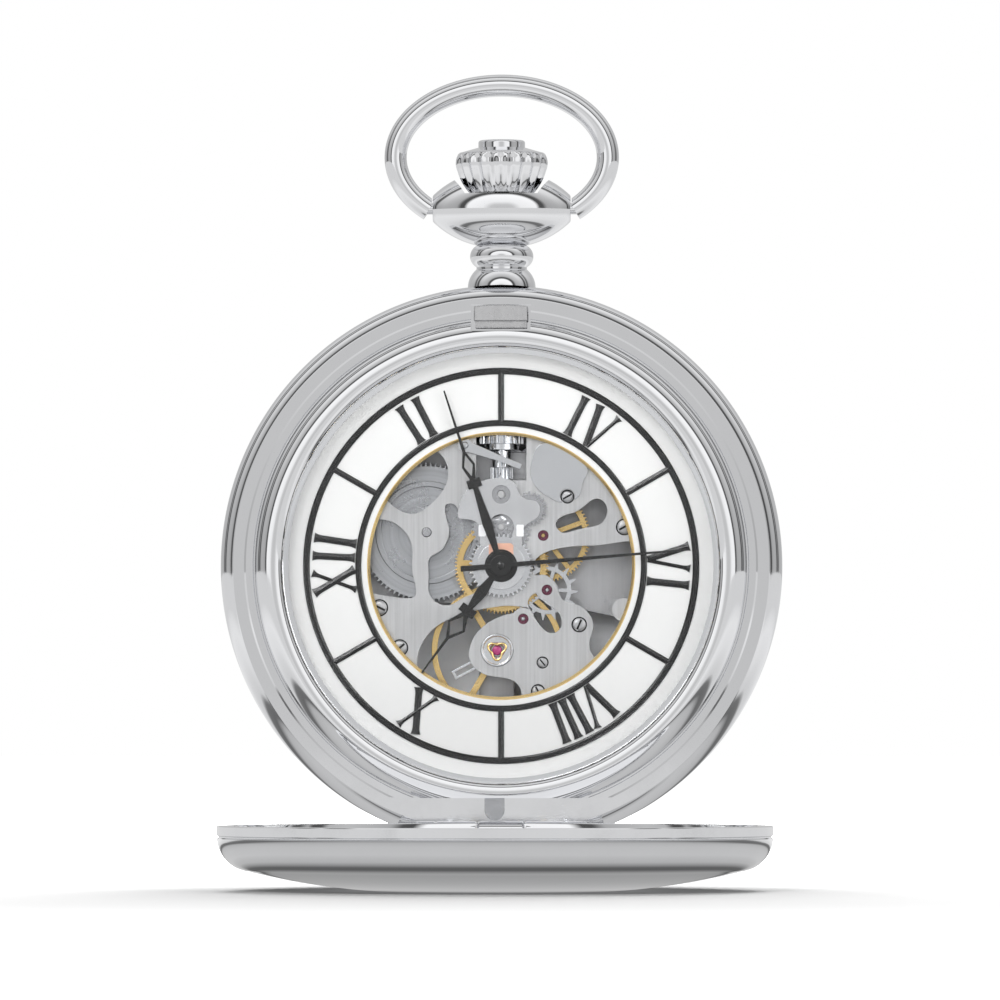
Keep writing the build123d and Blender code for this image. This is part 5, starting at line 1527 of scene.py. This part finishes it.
# ---------------------------------------------------------------- movement
@dataclass
class Movement:
    """Plates, train, winding work and balance seen through the dial."""

    screw_spots: tuple[Spot, ...] = (
        (5.64, 5.92, 0.49), (6.65, -5.01, 0.55), (3.52, -8.25, 0.42), (3.13, -10.7, 0.5),
        (-10.4, -3.57, 0.62), (-8.68, -6.99, 0.62), (10.5, 3.32, 0.6), (-13.5, 8.5, 0.8), (13.5, 8.5, 0.8))
    screw_foot: float = 1.6
    screw_turn: float = 37.0
    balance_at: Point = (-0.37, -7.20)
    spring_turns: float = 9.0
    spring_depth: float = 4.28
    finishes: tuple[tuple[Finish, float, tuple[str, ...]], ...] = (
        (NICKEL, 0.07, ("main_plate",)),
        (BRIGHT_NICKEL, 0.06, ("motion_cover", "balance_setting")),
        # Painted shade: the bridges and ring lie deeper, so they take the darker nickel.
        (SHADED_NICKEL, 0.06, ("barrel_bridge", "train_bridge", "balance_cock", "movement_ring")),
        (BRIGHT_STEEL, 0.03, ("setting_bridge", "setting_lever", "yoke", "studs", "winding_pinion", "clutch",
                              "regulator", "hour_wheel", "pallet_fork", "escape_wheel", "balance_staff")),
        (WHEEL_STEEL, 0.03, ("click", "setting_wheel", "second_setting_wheel", "minute_wheel",
                             "cannon_pinion", "centre_arbor", "barrel_arbor")),
        # Painted shade: darker steel for the deeper barrel parts.
        (SHADED_STEEL, 0.03, ("mainspring", "crown_wheel", "ratchet_wheel")),
        # Real turned finish, with a darker tone as painted shade.
        (TURNED_SHADED_STEEL, 0.04, ("barrel",)),
        (BRASS, 0.03, ("centre_wheel", "third_wheel", "fourth_wheel", "balance_wheel")),
        (DARK_RUBY, 0.05, ("jewels",)),
    )

    def build(self) -> None:
        """Make every piece of the movement."""
        for finish, width, nodes in self.finishes:
            for node in nodes:
                soft_node(node, finish, width)
        self.screws()
        self.hairspring()
        self.shock_setting()
        self.cover_tabs()

    def shock_setting(self) -> None:
        """Make the balance's domed jewel and its three-lobed gold spring."""
        x, z = self.balance_at
        place = dial_frame() @ Matrix.Translation(Vector((x * MM, z * MM, 0)))
        profile = [(0, 1.45), (0, 2.1), (0.42, 2.1), (0.42, 1.62), (0.36, 1.53), (0.2, 1.47)]
        dress(lathe("balance_jewel_cap", profile, place, 64, flip=True), RUBY, "case", ("balance_jewel",))
        bm = bmesh.new()
        rings = []
        section = ((-0.11, 1.42), (-0.11, 1.34), (-0.05, 1.29), (0.05, 1.29), (0.11, 1.34), (0.11, 1.42))
        steps, lobes = 120, 3
        for step in range(steps):
            angle = 360.0 * step / steps
            radius = 0.66 + 0.17 * math.cos(math.radians(lobes * angle - 90))
            rings.append([bm.verts.new((*polar(radius + out, angle), -depth)) for out, depth in section])
        skin(bm, rings, closed=True)
        dress(add_mesh("shock_spring_lyre", bm, place, 60), GOLD, "case", ("shock_spring",))

    def cover_tabs(self) -> None:
        """Make the two polished tabs beside the minute wheel's window."""
        for side, centre in (("left", -1.62), ("right", 1.62)):
            spots = rounded([(centre, 2.5), (centre + 0.3, 2.5), (centre + 0.3, 3.5), (centre - 0.3, 3.5),
                             (centre - 0.3, 2.5), (centre, 2.5)], 0.08)[:-1]
            tab = prism("cover_tab_" + side, spots, -0.6, -0.47, dial_frame())
            dress(tab, POLISHED_TAB, "case")

    def screws(self) -> None:
        """Make the slotted screws, each turned its own way, with black rings round them and black floors in
        their slots as painted shade.
        """
        head = [(0, 0.6), (0.74, 0.6), (0.82, 0.57), (1.0, 0.44), (1.0, 0), (0, 0)]
        pattern = lathe("screw_pattern", head, UNIT, 48)
        cut(pattern, [block((-2, -0.16, 0.38), (2, 0.16, 2), UNIT)])
        spots = [(x, z, radius, self.screw_turn * x % 180) for x, z, radius in self.screw_spots]
        place = Matrix.Translation(Vector((0, self.screw_foot * MM, 0))) @ dial_frame()
        screws = copies_on_points("movement_screws", pattern, spots, SCREW_STEEL, place)
        dress(screws, SCREW_STEEL, "case", ("plate_screws",))
        # Painted shade: a black ring round each head and a black floor in each slot.
        rim = [(0.95, 0), (0.95, 0.06), (1.22, 0.06), (1.22, 0)]
        shade = joined("well_pattern", [lathe("well_ring", rim, UNIT, 48),
                                        block((-0.84, -0.15, 0.39), (0.84, 0.15, 0.44), UNIT)])
        dress(copies_on_points("screw_wells", shade, spots, BLACK_LACQUER_AND_SHADE, place), BLACK_LACQUER_AND_SHADE, "case")

    def hairspring(self) -> None:
        """Make the flat spiral of the balance."""
        forge = NodeForge("hairspring_tree", (
            ("Turns", "NodeSocketFloat", self.spring_turns), ("Start Radius", "NodeSocketFloat", 0.5),
            ("End Radius", "NodeSocketFloat", 2.1), ("Half Width", "NodeSocketFloat", 0.035)))
        spiral = forge.add("GeometryNodeCurveSpiral")
        spiral.inputs["Resolution"].default_value = 72
        spiral.inputs["Height"].default_value = 0.0
        names = {"Turns": "Rotations", "Start Radius": "Start Radius", "End Radius": "End Radius"}
        for title, target in names.items():
            forge.join(forge.inside.outputs[title], spiral.inputs[target])
        section = forge.add("GeometryNodeCurvePrimitiveQuadrilateral")
        forge.join(forge.inside.outputs["Half Width"], section.inputs["Width"])
        section.inputs["Height"].default_value = 0.2
        sweep = forge.add("GeometryNodeCurveToMesh")
        sweep.inputs["Fill Caps"].default_value = True
        forge.join(spiral.outputs["Curve"], sweep.inputs["Curve"])
        forge.join(section.outputs["Curve"], sweep.inputs["Profile Curve"])
        spring = forge.make("balance_spring", sweep.outputs["Mesh"], BRIGHT_STEEL)
        x, z = self.balance_at
        centre = Matrix.Translation(Vector((x, z, -self.spring_depth)))
        spring.data.transform(dial_frame() @ Matrix.Scale(MM, 4) @ centre)
        dress(spring, BRIGHT_STEEL, "case", ("hairspring",))


def main() -> None:
    """Build the room and every sub-assembly of the watch."""
    logging.basicConfig(level=logging.INFO, format="%(name)s: %(message)s")
    for part in (Studio(), CaseShell(), Pendant(), DialFace(), Movement()):
        part.build()
        LOG.info("%s is finished", type(part).__name__)


if __name__ == "__main__":
    main()
